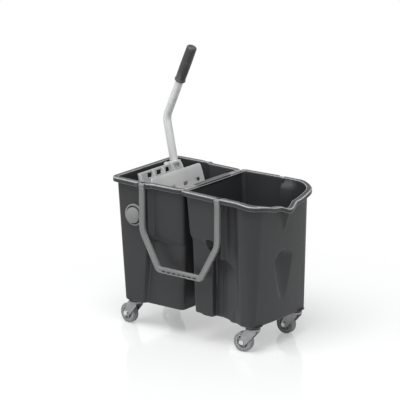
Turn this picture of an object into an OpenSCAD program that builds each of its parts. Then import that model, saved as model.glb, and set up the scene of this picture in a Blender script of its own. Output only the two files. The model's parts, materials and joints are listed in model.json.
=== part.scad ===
// Double mop bucket trolley: a wash bucket with a lever press hooked to a rinse bucket,
// two swing handles and four swivel casters. Millimetres, +Z up, floor at z = 0,
// front at -Y, wash bucket at -X.

/* [Buckets] */
// height of the rims above the floor
rim_z = 465; // [455:1:475]
// height of the bucket bottoms above the floor
base_z = 90; // [88:1:96]
// wall thickness
wall = 3; // [2.5:0.1:3.5]
// floor thickness
floor_t = 4; // [3:0.1:6]
// depth of the buckets over the handle pads, at the rim
body_d = 298; // [292:1:304]
// distance of the press axle from the end wall of the wash bucket
press_room = 63; // [62:0.5:68]
// length of the pouring end past the bays of the rinse bucket
pour_l = 64; // [60:1:72]
// gap between the two buckets at the rim
gap_w = 10; // [9:0.5:12]
// how far the long walls lean in from rim to base
side_draft = 15; // [12:0.5:16]
// how far the end walls lean in from rim to base
end_draft = 12; // [8:0.5:13]
// rounding of the bottom edge
edge_r = 4; // [2:0.5:6]

/* [Rims] */
// how far the rims stand out from the walls
rim_out = 14; // [12:0.5:15]
// height of the rim skirts
rim_h = 14; // [12:0.5:16]
// thickness of the rims
rim_t = 2.5; // [2:0.1:3]
// chamfer of the outer rim edge
rim_r = 1.5; // [0.5:0.1:2]
// clearance from each rim to the middle of the gap
meet = 0.5; // [0.2:0.1:1]
// how far the rim falls towards the pouring end
end_drop = 16; // [8:1:20]
// how far the spout stands out
spout_out = 14; // [8:1:16]
// half width of the spout
spout_half = 22; // [18:1:28]
// extra fall of the rim at the spout
spout_dip = 10; // [4:1:12]
// height where the spout's gusset grows out of the wall
gusset_z = 351; // [330:1:370]
// length of the hook over the divider
hook_l = 156; // [120:1:180]
// depth of the hook inside the rinse bucket
hook_drop = 12; // [8:1:16]

/* [Wall relief] */
// height of the wash bucket's shoulder
shoulder_z = 302; // [298:1:306]
// depth of the panels under the rinse shoulder, from the handle pads
rinse_low_in = 21; // [19:0.5:24]
// height of the rinse shoulder at the niche
rinse_shoulder_z = 288; // [280:1:292]
// rise of the rinse shoulder towards the gap
shoulder_tilt = 26; // [15:1:30]
// depth of the niches, from the handle pads
niche_in = 42; // [38:1:48]
// how far the niches start before the handle pads
niche_lead = 19; // [15:1:23]
// width of the niches
niche_w = 88; // [80:1:92]
// height of the niches' crown
niche_z = 302; // [296:1:310]
// height of the scoop in the rinse end
scoop_z = 272; // [260:1:280]
// depth of the scoop
scoop_in = 16; // [10:1:18]
// half width of the scoop
scoop_half = 45; // [35:1:50]

/* [Handles] */
// distance between the two legs
handle_span = 280; // [276:1:284]
// width of a leg
leg_w = 18; // [16:0.5:19]
// thickness of a leg
leg_t = 11; // [9:0.5:12]
// clearance beside a leg in its rim notch
leg_gap = 1; // [0.5:0.1:1.5]
// hinge pin diameter
hinge_d = 6; // [5:0.5:7]
// height of the hinge below the rim
hinge_down = 8; // [7:0.5:9]
// distance of the hinge from the handle pad
hinge_off = 8.5; // [8.2:0.1:9]
// height where the legs bend inwards
leg_bend_z = 325; // [310:1:340]
// height of the bottom of the grip bar
bar_z = 201; // [190:1:215]
// half length of the grip bar
bar_half = 84; // [70:1:95]

/* [Press] */
// gap between a handle leg and the pivot cover button
button_gap = 6; // [4:0.5:8]
// height of the press axle
pivot_z = 358; // [354:1:362]
// press axle diameter
axle_d = 14; // [12:0.5:16]
// distance of the jaw's ends from the faces of the handle pads
jaw_room = 37; // [36.5:0.5:43]
// how far the press plate stands out past the jaw's ends
plate_over = 8; // [4:0.5:8.5]
// half length of the jaw's back wall
strip_half = 94; // [88:1:100]
// thickness of the jaw's ribs
rib_t = 3; // [2.5:0.1:4]
// thickness of the press plate
plate_t = 4; // [3:0.1:5]
// height of the jaw's back wall above the axle
back_h = 112; // [104:1:114]
// outer diameter of the pivot cover ring
cover_d = 67; // [62:1:70]
// diameter of the pivot cover button
button_d = 48; // [40:1:50]
// thickness of the cover ring
cover_t = 5; // [4:0.1:5.5]
// lever tube diameter
tube_d = 25; // [22:0.5:26]
// lever tube wall
tube_t = 2; // [1.5:0.1:3]
// distance of the lever from the jaw's end
lever_in = 28; // [26:1:32]
// bend radius of the lever
lever_bend_r = 55; // [45:1:70]
// depth of the lever in its socket
socket_l = 58; // [50:1:60]
// length of the rubber grip
grip_l = 120; // [100:1:130]
// diameter of the rubber grip
grip_d = 31; // [29:0.5:34]
// lever bolt diameter
bolt_d = 6; // [5:0.5:8]

/* [Sieve] */
// thickness of the sieve
sieve_t = 3; // [2.5:0.1:3.5]
// clearance between the sieve and its neighbours
sieve_gap = 2; // [1.5:0.1:2.5]
// distance between the drain holes
drain_step = 23; // [20:0.5:24]
// drain hole diameter
drain_d = 9; // [7:0.5:11]

/* [Casters] */
// wheel diameter
wheel_d = 60; // [56:1:62]
// wheel width
wheel_w = 22; // [18:0.5:22.5]
// wheel axle diameter
wheel_axle_d = 8; // [6:0.5:9]
// trail of the wheel behind the swivel
trail = 30; // [28:0.5:32]
// swivels of the left casters, from the wash bucket's end
swivel_left_in = 33; // [31:0.5:37]
// swivels of the right casters, from the rinse bucket's end
swivel_right_in = 39; // [37:0.5:44]
// swivels from the faces of the handle pads
swivel_in = 45; // [43:0.5:49]
// height of the bottoms of the caster posts
post_z = 74; // [73:0.5:76]
// diameter of the caster posts
post_d = 40; // [36:1:41]
// how far the front left wheel is turned
yaw_fl = -10; // [-20:1:20]
// how far the back left wheel is turned
yaw_bl = -5; // [-20:1:20]
// how far the front right wheel is turned
yaw_fr = 8; // [-20:1:20]
// how far the back right wheel is turned
yaw_br = 0; // [-20:1:20]

/* [Hidden] */
$fn = 64;
half_d = body_d / 2;
slip = 0.05;
run = 0.08;
air = 0.3;
sharp_r = 0.6;
lip_r = 1;

// scoop above and below its deepest level
scoop_up = 26;
scoop_down = 129;

// plan steps of the long walls
corner_step = 4;
panel_step = 10;
bay_step = 14;
jamb_w = 14;
rinse_step = 7;
end_bow = 8;
pad_in = handle_span / 2 - leg_w / 2 - 2;
pad_out = handle_span / 2 + leg_w / 2 + leg_gap;
bay_left = pad_out + 4;
bay_right = bay_left + 30;
bay_end = bay_right + 22;
rinse_end = bay_end + pour_l;
pivot_x = handle_span / 2 + leg_w / 2 + button_gap + button_d / 2;
wash_end = pivot_x + press_room;
niche_left = pad_in - niche_lead;
niche_right = niche_left + niche_w;
niche_y = half_d - niche_in;
rinse_low_y = half_d - rinse_low_in;
recess_rise = 9;
jamb_top_x = pad_in + 5;
jamb_foot_x = pad_in + 29;
low_jamb_w = 8;
recess_end = niche_left + 8;

// hinges
hinge_y = half_d + hinge_off;
hinge_z = rim_z - hinge_down;
barrel_d = leg_t + 3;
notch_w = leg_w + 2 * leg_gap;
notch_face = hinge_y - barrel_d / 2 - air - 0.4;
lug_w = 8;
lug_out = half_d + rim_out - 0.5;
lug_z = hinge_z - hinge_d / 2 - 4.5;
lug_h = rim_z - rim_t / 2 - lug_z;
pin_l = notch_w + 2 * lug_w - 1;

// press, in the plane of its swing, measured from the axle
jaw_half = half_d - jaw_room;
plate_half = jaw_half + plate_over;
lever_y = jaw_half - lever_in;
hub_d = axle_d + 14;
boss_in = jaw_half + 0.5;
pivot_wall_y = wash_y(pivot_x, pivot_z);
seat_y = pivot_wall_y + 2.8;
axle_half = seat_y - 1;
back_foot = [-7, 6];
back_top = [-26, back_h];
back_t = 3.5;
plate_top = [40, back_h - 1];
plate_foot = plate_top + [26, -78];
web_foot = [8, 2];
cell_w = (2 * strip_half - rib_t) / 4;
window_w = 16;
window_h = 11;
window_side = 10;
slot_w = 20;
slot_h = 11;
slot_step = plate_half / 2;
lever_foot = [-31, 113];
lever_bend = [-59, 247];
socket_foot = lever_foot - socket_l * unit(lever_bend - lever_foot);
lever_top = [39, 476];
socket_w = tube_d + 9;
socket_d = tube_d + 8;
bolt_rows = [16, 42];
bolt_head_d = bolt_d + 5;
bolt_head_t = 3.5;
seam = 0.02;
grip_end = 6;

// sieve, in the plane of the press swing; its upper half is as wide as the press plate
sieve_path = [
    for (p = [[1.1875, 0.598], [1.152, 0.304], [0.455, -0.786], [0.259, -0.857], [0.17, -0.741]])
        [-pivot_x, pivot_z] + back_h * p
];
sieve_half = jaw_half + sieve_gap;
cheek_half = sieve_half + sieve_t;
wide_half = plate_half + sieve_gap;
wide_cheek = wide_half + sieve_t;
low_y = cheek_half + sieve_gap + wall;
rest_x0 = sieve_path[2].x + 16;
rest_x1 = sieve_path[1].x - 2;
rest_z = shoulder_z + 3.7;
rest_y = cheek_half + 0.8;
flange_z = rest_z + 0.1;

// casters
swivel_left_x = wash_end - swivel_left_in;
swivel_right_x = rinse_end - swivel_right_in;
swivel_y = half_d - swivel_in;
front_left = [-swivel_left_x, -swivel_y, yaw_fl];
back_left = [-swivel_left_x, swivel_y, yaw_bl];
front_right = [swivel_right_x, -swivel_y, yaw_fr];
back_right = [swivel_right_x, swivel_y, yaw_br];
wheel_r = wheel_d / 2;
tread_r = 3;
core_r = wheel_r - 7;
stem_d = 11;
stem_top = base_z + 12;
disc_d = post_d + 4;
disc_t = 2.5;
fork_z = post_z - disc_t - air;
fork_t = 3;
king_d = 10;
cheek_t = 2;
cheek_in = wheel_w / 2 + 1.5;
hub_w = 2 * (cheek_in - air);

// the part is centred over its own outline
tail_fl = tail_x(front_left);
tail_bl = tail_x(back_left);
left_most = min(tail_fl, tail_bl, -wash_end - rim_out);
right_most = rinse_end + rim_out + spout_out;
shift_x = -(left_most + right_most) / 2;

// plain geometry
function unit(v) = v / norm(v);
function left_of(v) = [-v.y, v.x];
function right_of(v) = [v.y, -v.x];
function turned(v, a) = [v.x * cos(a) - v.y * sin(a), v.x * sin(a) + v.y * cos(a)];
function at(list, i) = list[(i + len(list)) % len(list)];
function spot(c) = [c[0], c[1]];
function clamped(t) = min(1, max(0, t));
function smooth(t) = let (c = clamped(t)) c * c * (3 - 2 * c);
function before(list, i) = unit(spot(list[i]) - spot(at(list, i - 1)));
function after(list, i) = unit(spot(at(list, i + 1)) - spot(list[i]));

// a corner is [x, y, radius, steps]; outlines run counter-clockwise
function moved_corner(c, a, b, d) =
    let (
        n = left_of(a),
        m = left_of(b),
        p = spot(c) + d * (n + m) / (1 + n * m),
        side = cross(a, b) < 0 ? -1 : 1
    )
    [p.x, p.y, max(c[2] - side * d, sharp_r), c[3]];
function inset(list, d) = [
    for (i = [0 : len(list) - 1])
        moved_corner(list[i], before(list, i), after(list, i), d)
];
function arc_at(c, a, b) =
    let (
        turn = atan2(cross(a, b), a * b),
        start = spot(c) - a * c[2] * tan(abs(turn) / 2),
        centre = start + sign(turn) * c[2] * left_of(a)
    )
    [for (k = [0 : c[3]]) centre + turned(start - centre, turn * k / c[3])];
function rounded(list) = [
    for (i = [0 : len(list) - 1])
        each (list[i][3] == 0 ? [spot(list[i])] : arc_at(list[i], before(list, i), after(list, i)))
];
function mirrored(list) = [
    for (i = [len(list) - 1 : -1 : 0])
        [list[i][0], -list[i][1], list[i][2], list[i][3]]
];

// share of the height from base to rim, and the lean of the walls there
function share(z) = (z - base_z) / (rim_z - base_z);
function side_in(z) = side_draft * (1 - share(z));
function end_in(z) = end_draft * (1 - share(z));

// half depth of the wash bucket's outer wall left of the handle pad
function wash_y(x, z) =
    half_d - corner_step * (x - pad_in) / (wash_end - pad_in) - side_in(z);

// plan of the wash bucket at a height, above or below its shoulder
function wash_front(z, low) =
    let (
        down = clamped((shoulder_z - z) / (shoulder_z - base_z)),
        jamb_x = low ? jamb_top_x + (jamb_foot_x - jamb_top_x) * down : pad_in,
        jamb_end = jamb_x - (low ? low_jamb_w : jamb_w),
        panel = half_d - panel_step - side_in(z),
        corner = half_d - bay_step - side_in(z)
    )
    [
        [-wash_end + end_in(z), -half_d + corner_step + side_in(z), 12, 4],
        [-jamb_x, -half_d + side_in(z), 2, 2],
        [-jamb_end, low ? -min(panel, low_y) : -panel, 2, 2],
        [-gap_w / 2 - end_in(z), low ? -min(corner, low_y) : -corner, 24, 6]
    ];
function wash_plan(z, low) = let (front = wash_front(z, low)) concat(front, mirrored(front));

// plan of the rinse bucket; its end is bowed and its front corners are full
function rinse_front(z, low) =
    let (
        near = half_d - rinse_step - side_in(z),
        pad = half_d - side_in(z),
        line = pad - rinse_step * (pad_in - recess_end) / (pad_in - gap_w / 2),
        bay = half_d - bay_step - side_in(z)
    )
    [
        [gap_w / 2 + end_in(z), -(low ? min(near, rinse_low_y) : near), 14, 4],
        [recess_end, -(low ? min(line, rinse_low_y) : line), 2, 0],
        [pad_in, -pad, 2, 0],
        [pad_out, -pad, 2, 3],
        [bay_left, -bay, 2, 2],
        [bay_right, -bay, 4, 2],
        [bay_end, -pad, 4, 2],
        [rinse_end - end_bow - end_in(z), -pad, 30 + 24 * share(z), 8]
    ];
function end_x(y, z) =
    rinse_end - end_in(z) - end_bow * pow(y / (half_d - side_in(z)), 2);
end_rows = [80, 58, 45, 36, 27, 19, 13, 6.5];
function rinse_plan(z, low) =
    let (
        front = rinse_front(z, low),
        near = [for (y = end_rows) [end_x(y, z), -y, 2, 0]]
    )
    concat(front, near, [[end_x(0, z), 0, 2, 0]], mirrored(near), mirrored(front));

// spout and falling rim of the rinse bucket
function bump(p) =
    p.x > rinse_end / 2 && abs(p.y) < spout_half ? pow(cos(90 * p.y / spout_half), 2) : 0;
function fall(p) =
    end_drop * smooth((p.x - bay_end) / (rinse_end - bay_end)) + spout_dip * bump(p);
function tilt(p) = shoulder_tilt * (1 - clamped((p.x - gap_w / 2) / (recess_end - gap_w / 2)));

// hollow in the end wall for tipping the bucket: the side of a double cone
function scoop(p, z) =
    let (
        away = (pow(scoop_half, 2) - pow(scoop_in, 2)) / (2 * scoop_in),
        fade = z > scoop_z ? (z - scoop_z) / scoop_up : (scoop_z - z) / scoop_down,
        r = away + scoop_in * (1 - fade)
    )
    p.x > rinse_end / 2 && r > abs(p.y) ? max(0, sqrt(r * r - p.y * p.y) - away) : 0;

// the rims stop short of the middle of the gap
function gap_side(o) = o < 0 ? meet + o + rim_out : -2 * wash_end;
function wash_ring(o, z, low) = [
    for (p = rounded(inset(wash_plan(z, low), o)))
        [min(p.x, -gap_side(o)), p.y, z]
];
function rinse_ring(o, z, low, rim, lean) = [
    for (p = rounded(inset(rinse_plan(z, low), o)))
        [
            max(p.x, gap_side(o)) + rim * spout_out * bump(p) - scoop(p, z),
            p.y,
            z - rim * fall(p) + lean * tilt(p)
        ]
];

// a closed skin through rings of points, its level ends fanned from a middle
module skin(rings, middle) {
    n = len(rings[0]);
    m = len(rings);
    low = [middle, 0, rings[0][0].z];
    high = [middle, 0, rings[m - 1][0].z];
    polyhedron(
        points = concat([for (ring = rings) each ring], [low, high]),
        faces = concat(
            [for (j = [0 : n - 1]) [m * n, j, (j + 1) % n]],
            [
                for (i = [0 : m - 2])
                    for (j = [0 : n - 1])
                        [i * n + j, (i + 1) * n + j, (i + 1) * n + (j + 1) % n]
            ],
            [
                for (i = [0 : m - 2])
                    for (j = [0 : n - 1])
                        [i * n + j, (i + 1) * n + (j + 1) % n, i * n + (j + 1) % n]
            ],
            [for (j = [0 : n - 1]) [m * n + 1, (m - 1) * n + (j + 1) % n, (m - 1) * n + j]]
        )
    );
}

module centred() {
    translate([shift_x, 0, 0])
        children();
}

// front and back copies of one thing
module both_sides() {
    children();
    mirror([0, 1, 0])
        children();
}

// cylinder along Y, and along X
module rod_y(d, y0, y1) {
    translate([0, y0, 0])
        rotate([-90, 0, 0])
            cylinder(d = d, h = y1 - y0);
}
module rod_x(d, x0, x1) {
    translate([x0, 0, 0])
        rotate([0, 90, 0])
            cylinder(d = d, h = x1 - x0);
}

// flat shape in the XZ plane, from y0 to y1
module upright(y0, y1) {
    translate([0, y1, 0])
        rotate([90, 0, 0])
            linear_extrude(y1 - y0)
                children();
}

// straight strip between two points of a plane
module strip(a, b, t) {
    translate(a)
        rotate([0, 0, atan2(b.y - a.y, b.x - a.x)])
            translate([0, -t / 2])
                square([norm(b - a), t]);
}

// block under the rim that carries a hinge pin; reach0 and reach1 are its depths at x0 and x1
module lug(x0, x1, reach0, reach1) {
    translate([0, 0, lug_z])
        linear_extrude(lug_h)
            polygon([[x0, -lug_out], [x1, -lug_out], [x1, -reach1], [x0, -reach0]]);
}
module notch(x) {
    translate([x - notch_w / 2, -2 * half_d, lug_z - 4])
        cube([notch_w, 2 * half_d - notch_face, rim_h + 20]);
    translate([x, -hinge_y, hinge_z])
        rod_x(hinge_d + 2 * slip, -notch_w / 2 - lug_w - 1, notch_w / 2 + lug_w + 1);
}
module caster_post(x) {
    translate([x, -swivel_y, post_z])
        cylinder(d = post_d, h = base_z + floor_t / 2 - post_z);
    translate([x, -swivel_y, post_z])
        cylinder(d = stem_d + 11, h = stem_top + 4 - post_z);
}
module stem_bore(x) {
    translate([x, -swivel_y, post_z - 1])
        cylinder(d = stem_d + 2 * slip, h = stem_top + slip + 1 - post_z);
}

module wash_shell() {
    top = shoulder_z + 4;
    low = top - recess_rise;
    skin([
        wash_ring(edge_r, base_z, true),
        wash_ring(0, base_z + edge_r, true),
        wash_ring(0, low, true),
        wash_ring(0, top, false),
        wash_ring(0, rim_z - rim_t, false),
        wash_ring(rim_t - rim_out, rim_z - rim_t, false),
        wash_ring(rim_t - rim_out, rim_z - rim_h, false),
        wash_ring(-rim_out, rim_z - rim_h, false),
        wash_ring(-rim_out, rim_z - rim_r, false),
        wash_ring(rim_r - rim_out, rim_z, false),
        wash_ring(wall - lip_r, rim_z, false),
        wash_ring(wall, rim_z - lip_r, false),
        wash_ring(wall, top, false),
        wash_ring(wall, low, true),
        wash_ring(wall, base_z + floor_t + edge_r, true),
        wash_ring(wall + edge_r, base_z + floor_t, true)
    ], -wash_end / 2);
}

// hook over the rim of the rinse bucket
module divider_hook() {
    lip = gap_w / 2 + wall + end_in(rim_z - hook_drop) + air;
    top = rim_z + air + rim_t;
    upright(-hook_l / 2, hook_l / 2)
        polygon([
            [-gap_w / 2 - wall + lip_r, rim_z - rim_t / 2],
            [-meet - rim_r, rim_z - rim_t / 2],
            [-meet - rim_r, rim_z + air],
            [lip, rim_z + air],
            [lip, rim_z - hook_drop],
            [lip + rim_t, rim_z - hook_drop],
            [lip + rim_t, top - rim_r],
            [lip + rim_t - rim_r, top],
            [-gap_w / 2 - wall + lip_r + rim_r, top],
            [-gap_w / 2 - wall + lip_r, top - rim_r]
        ]);
}

// ledge inside the wash bucket that carries the sieve
module sieve_rest() {
    mid = low_y - wall / 2;
    foot = shoulder_z + 4 - recess_rise;
    translate([rest_x0, 0, 0])
        rotate([90, 0, 90])
            linear_extrude(rest_x1 - rest_x0)
                polygon([
                    [-rest_y, rest_z],
                    [-mid - (rest_z - foot) + 1, rest_z],
                    [-mid, foot],
                    [-mid, foot - 6],
                    [-rest_y, foot - 3]
                ]);
}

module bucket_wash() {
    centred()
        color([0.27, 0.27, 0.28])
            difference() {
                union() {
                    wash_shell();
                    divider_hook();
                    both_sides() {
                        lug(-pad_out - lug_w, -pad_out, half_d - 2, half_d - 2);
                        lug(-pad_out + notch_w, -pad_out + notch_w + lug_w, half_d - 1.6, half_d - 7);
                        caster_post(-swivel_left_x);
                        sieve_rest();
                        translate([-pivot_x, 0, pivot_z]) {
                            rod_y(hub_d + 2, -pivot_wall_y + wall / 2, -boss_in);
                            rod_y(cover_d + 3, -seat_y, -pivot_wall_y + wall / 2);
                        }
                    }
                }
                both_sides() {
                    notch(-handle_span / 2);
                    stem_bore(-swivel_left_x);
                }
                translate([-pivot_x, 0, pivot_z])
                    rod_y(axle_d + 2 * slip, -half_d, half_d);
            }
}

// arched niche in the long walls of the rinse bucket, grown by g for its lining
module niche(g) {
    crown = [
        [niche_left, base_z - 20, 2, 0],
        [niche_right, base_z - 20, 2, 0],
        [niche_right, niche_z - 18, 26, 6],
        [pad_out - 4, niche_z, 12, 3],
        [pad_in - 7, niche_z + 34, 4, 3],
        [niche_left - 14, niche_z + 34, 3, 3],
        [niche_left - 14, niche_z + 16, 3, 3],
        [niche_left, niche_z - 2, 4, 3]
    ];
    translate([0, -niche_y + g, 0])
        rotate([90, 0, 0])
            linear_extrude(half_d)
                polygon(rounded(inset(crown, -g)));
}

// rings of the rinse wall under the rim, at an inset, from the base up
function rinse_wall(o, foot) =
    let (
        top = rinse_shoulder_z + 4,
        low = top - recess_rise
    )
    concat(
        [rinse_ring(o, foot, true, 0, 0)],
        [
            for (k = [0 : 4])
                rinse_ring(o, scoop_z - scoop_down * (1 - k / 4), true, 0, 0.2 + 0.2 * k)
        ],
        [
            rinse_ring(o, low, true, 0, 1),
            rinse_ring(o, top, false, 0, 1),
            rinse_ring(o, scoop_z + scoop_up, false, 0, 1),
            rinse_ring(o, gusset_z, false, 0, 0)
        ]
    );
function upside(list) = [for (i = [len(list) - 1 : -1 : 0]) list[i]];

module rinse_shell() {
    skin(concat(
        [rinse_ring(edge_r, base_z, true, 0, 0)],
        rinse_wall(0, base_z + edge_r),
        [
            rinse_ring(0, rim_z - rim_t, false, 1, 0),
            rinse_ring(rim_t - rim_out, rim_z - rim_t, false, 1, 0),
            rinse_ring(rim_t - rim_out, rim_z - rim_h, false, 1, 0),
            rinse_ring(-rim_out, rim_z - rim_h, false, 1, 0),
            rinse_ring(-rim_out, rim_z - rim_r, false, 1, 0),
            rinse_ring(rim_r - rim_out, rim_z, false, 1, 0),
            rinse_ring(wall - lip_r, rim_z, false, 1, 0),
            rinse_ring(wall, rim_z - lip_r, false, 1, 0)
        ],
        upside(rinse_wall(wall, base_z + floor_t + edge_r)),
        [rinse_ring(wall + edge_r, base_z + floor_t, true, 0, 0)]
    ), rinse_end / 2);
}

// everything inside the middle of the rinse bucket's wall, up to the spout's gusset
module rinse_core() {
    skin(rinse_wall(wall / 2, base_z + floor_t / 2), rinse_end / 2);
}

module bucket_rinse() {
    centred()
        color([0.27, 0.27, 0.28])
            difference() {
                union() {
                    difference() {
                        rinse_shell();
                        both_sides()
                            niche(0);
                    }
                    intersection() {
                        rinse_core();
                        both_sides()
                            difference() {
                                niche(wall);
                                niche(0);
                            }
                    }
                    both_sides() {
                        lug(pad_out - notch_w - lug_w, pad_out - notch_w, half_d - 2, half_d - 2);
                        lug(pad_out, pad_out + lug_w, half_d - 1.6, half_d - bay_step - 1.6);
                        caster_post(swivel_right_x);
                    }
                }
                both_sides() {
                    notch(handle_span / 2);
                    stem_bore(swivel_right_x);
                }
            }
}

// swing handle, drawn at the front
function handle_outline(top) = [
    [-handle_span / 2 - leg_w / 2, top, 0, 0],
    [-handle_span / 2 - leg_w / 2, leg_bend_z, 30, 5],
    [-bar_half, bar_z, 22, 5],
    [bar_half, bar_z, 22, 5],
    [handle_span / 2 + leg_w / 2, leg_bend_z, 30, 5],
    [handle_span / 2 + leg_w / 2, top, 0, 0]
];
module swing_handle() {
    tall = handle_outline(hinge_z + 4 * leg_w);
    groove = 1.2;
    translate([0, -hinge_y, 0])
        difference() {
            union() {
                upright(-leg_t / 2, leg_t / 2)
                    difference() {
                        polygon(rounded(handle_outline(hinge_z)));
                        polygon(rounded(inset(tall, leg_w)));
                    }
                for (x = [-handle_span / 2, handle_span / 2])
                    translate([x, 0, hinge_z])
                        rod_x(barrel_d, -leg_w / 2, leg_w / 2);
            }
            for (x = [-handle_span / 2, handle_span / 2])
                translate([x, 0, hinge_z])
                    rod_x(hinge_d + 2 * run, -leg_w, leg_w);
            upright(-leg_t, groove - leg_t / 2)
                intersection() {
                    difference() {
                        polygon(rounded(inset(tall, leg_w - 6)));
                        polygon(rounded(inset(tall, leg_w - 3)));
                    }
                    translate([-handle_span, bar_z + leg_w + 4])
                        square([2 * handle_span, hinge_z - bar_z - leg_w - 20]);
                }
            for (k = [-3 : 3])
                translate([k * bar_half / 4.4 - 7, -leg_t, bar_z + 3])
                    cube([14, leg_t / 2 + 3, 6]);
        }
}
module handle_front() {
    centred()
        color([0.54, 0.54, 0.54])
            swing_handle();
}
module handle_back() {
    centred()
        color([0.54, 0.54, 0.54])
            mirror([0, 1, 0])
                swing_handle();
}
module hinge_pins() {
    for (x = [-handle_span / 2, handle_span / 2])
        translate([x, -hinge_y, hinge_z])
            rod_x(hinge_d, -pin_l / 2, pin_l / 2);
}
module handle_pins_front() {
    centred()
        color([0.7, 0.7, 0.7])
            hinge_pins();
}
module handle_pins_back() {
    centred()
        color([0.7, 0.7, 0.7])
            mirror([0, 1, 0])
                hinge_pins();
}

// press
module at_pivot() {
    centred()
        translate([-pivot_x, 0, pivot_z])
            children();
}
module press_axle() {
    at_pivot()
        color([0.7, 0.7, 0.7])
            rod_y(axle_d, -axle_half, axle_half);
}
module cover_ring() {
    translate([0, -seat_y, 0])
        rotate([90, 0, 0])
            rotate_extrude() {
                translate([cover_d / 2 - 6, 0])
                    square([6, cover_t - 1.5]);
                translate([cover_d / 2 - 6, 0])
                    square([4.5, cover_t]);
                translate([cover_d / 2 - 1.5, cover_t - 1.5])
                    circle(r = 1.5);
            }
}
module cover_ring_front() {
    at_pivot()
        color([0.56, 0.56, 0.56])
            cover_ring();
}
module cover_ring_back() {
    at_pivot()
        color([0.56, 0.56, 0.56])
            mirror([0, 1, 0])
                cover_ring();
}
module cover_button() {
    height = cover_t + 11;
    dome_r = button_d;
    translate([0, -seat_y, 0])
        rotate([90, 0, 0])
            intersection() {
                cylinder(d = button_d, h = height);
                translate([0, 0, height - dome_r])
                    sphere(r = dome_r);
            }
}
module cover_button_front() {
    at_pivot()
        color([0.56, 0.56, 0.56])
            cover_button();
}
module cover_button_back() {
    at_pivot()
        color([0.56, 0.56, 0.56])
            mirror([0, 1, 0])
                cover_button();
}

// turns the Z axis to lie from a to b in the plane of the press swing
module along(a, b) {
    translate([a.x, lever_y, a.y])
        rotate([0, atan2(b.x - a.x, b.y - a.y), 0])
            children();
}

// press plate, with rounded top corners and two rows of slots
module press_plate() {
    tall = norm(plate_top - plate_foot);
    along_plate = atan2(plate_top.x - plate_foot.x, plate_top.y - plate_foot.y);
    corners = [
        [-plate_half, 0, 0, 0],
        [plate_half, 0, 0, 0],
        [plate_half, tall, 12, 6],
        [-plate_half, tall, 12, 6]
    ];
    translate([plate_foot.x, 0, plate_foot.y])
        rotate([0, along_plate, 0])
            rotate([90, 0, 90])
                translate([0, 0, -plate_t / 2])
                    linear_extrude(plate_t)
                        difference() {
                            polygon(rounded(corners));
                            for (k = [-1.5 : 1.5])
                                for (row = [46, 68])
                                    translate([k * slot_step - slot_w / 2, tall - row - slot_h / 2])
                                        square([slot_w, slot_h]);
                        }
}
module jaw_rib(y, thick) {
    upright(y - thick / 2, y + thick / 2)
        polygon([
            [0, 0],
            plate_foot - [2, -2],
            plate_top + 0.2 * (plate_foot - plate_top),
            [8, back_h - 26],
            back_top + [8, -4],
            back_top + [0, -2],
            back_foot
        ]);
}
module press_jaw() {
    at_pivot()
        color([0.7, 0.7, 0.69])
            difference() {
                union() {
                    difference() {
                        upright(-strip_half, strip_half)
                            strip(back_foot, back_top, back_t);
                        for (k = [-1.5 : 1.5])
                            translate([back_top.x - hub_d, k * cell_w + window_side - window_w / 2, back_h - 16])
                                cube([2 * hub_d, window_w, window_h]);
                    }
                    press_plate();
                    upright(-jaw_half, jaw_half)
                        strip(web_foot, plate_foot, plate_t);
                    rod_y(hub_d, -jaw_half, jaw_half);
                    for (k = [-2 : 2])
                        jaw_rib(k * cell_w, rib_t);
                    along(socket_foot, lever_foot)
                        translate([-socket_w / 2, -socket_d / 2, -5])
                            cube([socket_w, socket_d, socket_l + 5]);
                    stop_z = 96;
                    translate([0, lever_y, stop_z])
                        rod_x(16, stop_x(stop_z), lever_foot.x);
                }
                rod_y(axle_d + 2 * run, -half_d, half_d);
                along(socket_foot, lever_foot)
                    cylinder(d = tube_d + 2 * slip, h = 2 * socket_l);
                along(socket_foot, lever_foot)
                    for (h = bolt_rows)
                        translate([0, 0, h]) {
                            rod_y(bolt_d + 2 * slip, -socket_d, socket_d);
                            rod_y(bolt_head_d + 1, -socket_d / 2 - bolt_head_t - 1, -socket_d / 2);
                            rod_y(bolt_head_d + 1, socket_d / 2, socket_d / 2 + bolt_head_t + 1);
                        }
            }
}

// the stop ends short of the end wall at rest
function stop_x(z) =
    -wash_end + end_in(pivot_z + z - 8) + wall + 0.5 + pivot_x;

// bent lever: straight, arc, straight
lever_low = unit(lever_bend - socket_foot);
lever_high = unit(lever_top - lever_bend);
lever_turn = acos(lever_low * lever_high);
lever_cut = lever_bend_r * tan(lever_turn / 2);
lever_arc_start = lever_bend - lever_low * lever_cut;
lever_arc_end = lever_bend + lever_high * lever_cut;
lever_centre = lever_arc_start + lever_bend_r * right_of(lever_low);
module lever_section(thin) {
    difference() {
        circle(d = tube_d - 2 * thin);
        circle(d = tube_d - 2 * tube_t + 2 * thin);
    }
}

// straight length from a to b, with a thin sleeve across the joint at b
module lever_straight(a, b, end) {
    long = norm(b - a);
    along(a, b) {
        translate([0, 0, end])
            linear_extrude(long - end - seam)
                lever_section(0);
        translate([0, 0, long - 1])
            linear_extrude(2)
                lever_section(0.1);
    }
}
module press_lever() {
    end_angle = atan2(lever_arc_end.y - lever_centre.y, lever_arc_end.x - lever_centre.x);
    at_pivot()
        color([0.8, 0.8, 0.8])
            difference() {
                union() {
                    lever_straight(socket_foot, lever_arc_start, slip);
                    translate([lever_centre.x, lever_y, lever_centre.y])
                        rotate([90, 0, 0])
                            rotate([0, 0, end_angle])
                                rotate_extrude(angle = lever_turn)
                                    translate([lever_bend_r, 0])
                                        lever_section(0);
                    lever_straight(lever_top, lever_arc_end, grip_end);
                }
                along(socket_foot, lever_foot)
                    for (h = bolt_rows)
                        translate([0, 0, h])
                            rod_y(bolt_d + 2 * slip, -socket_d, socket_d);
            }
}
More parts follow.
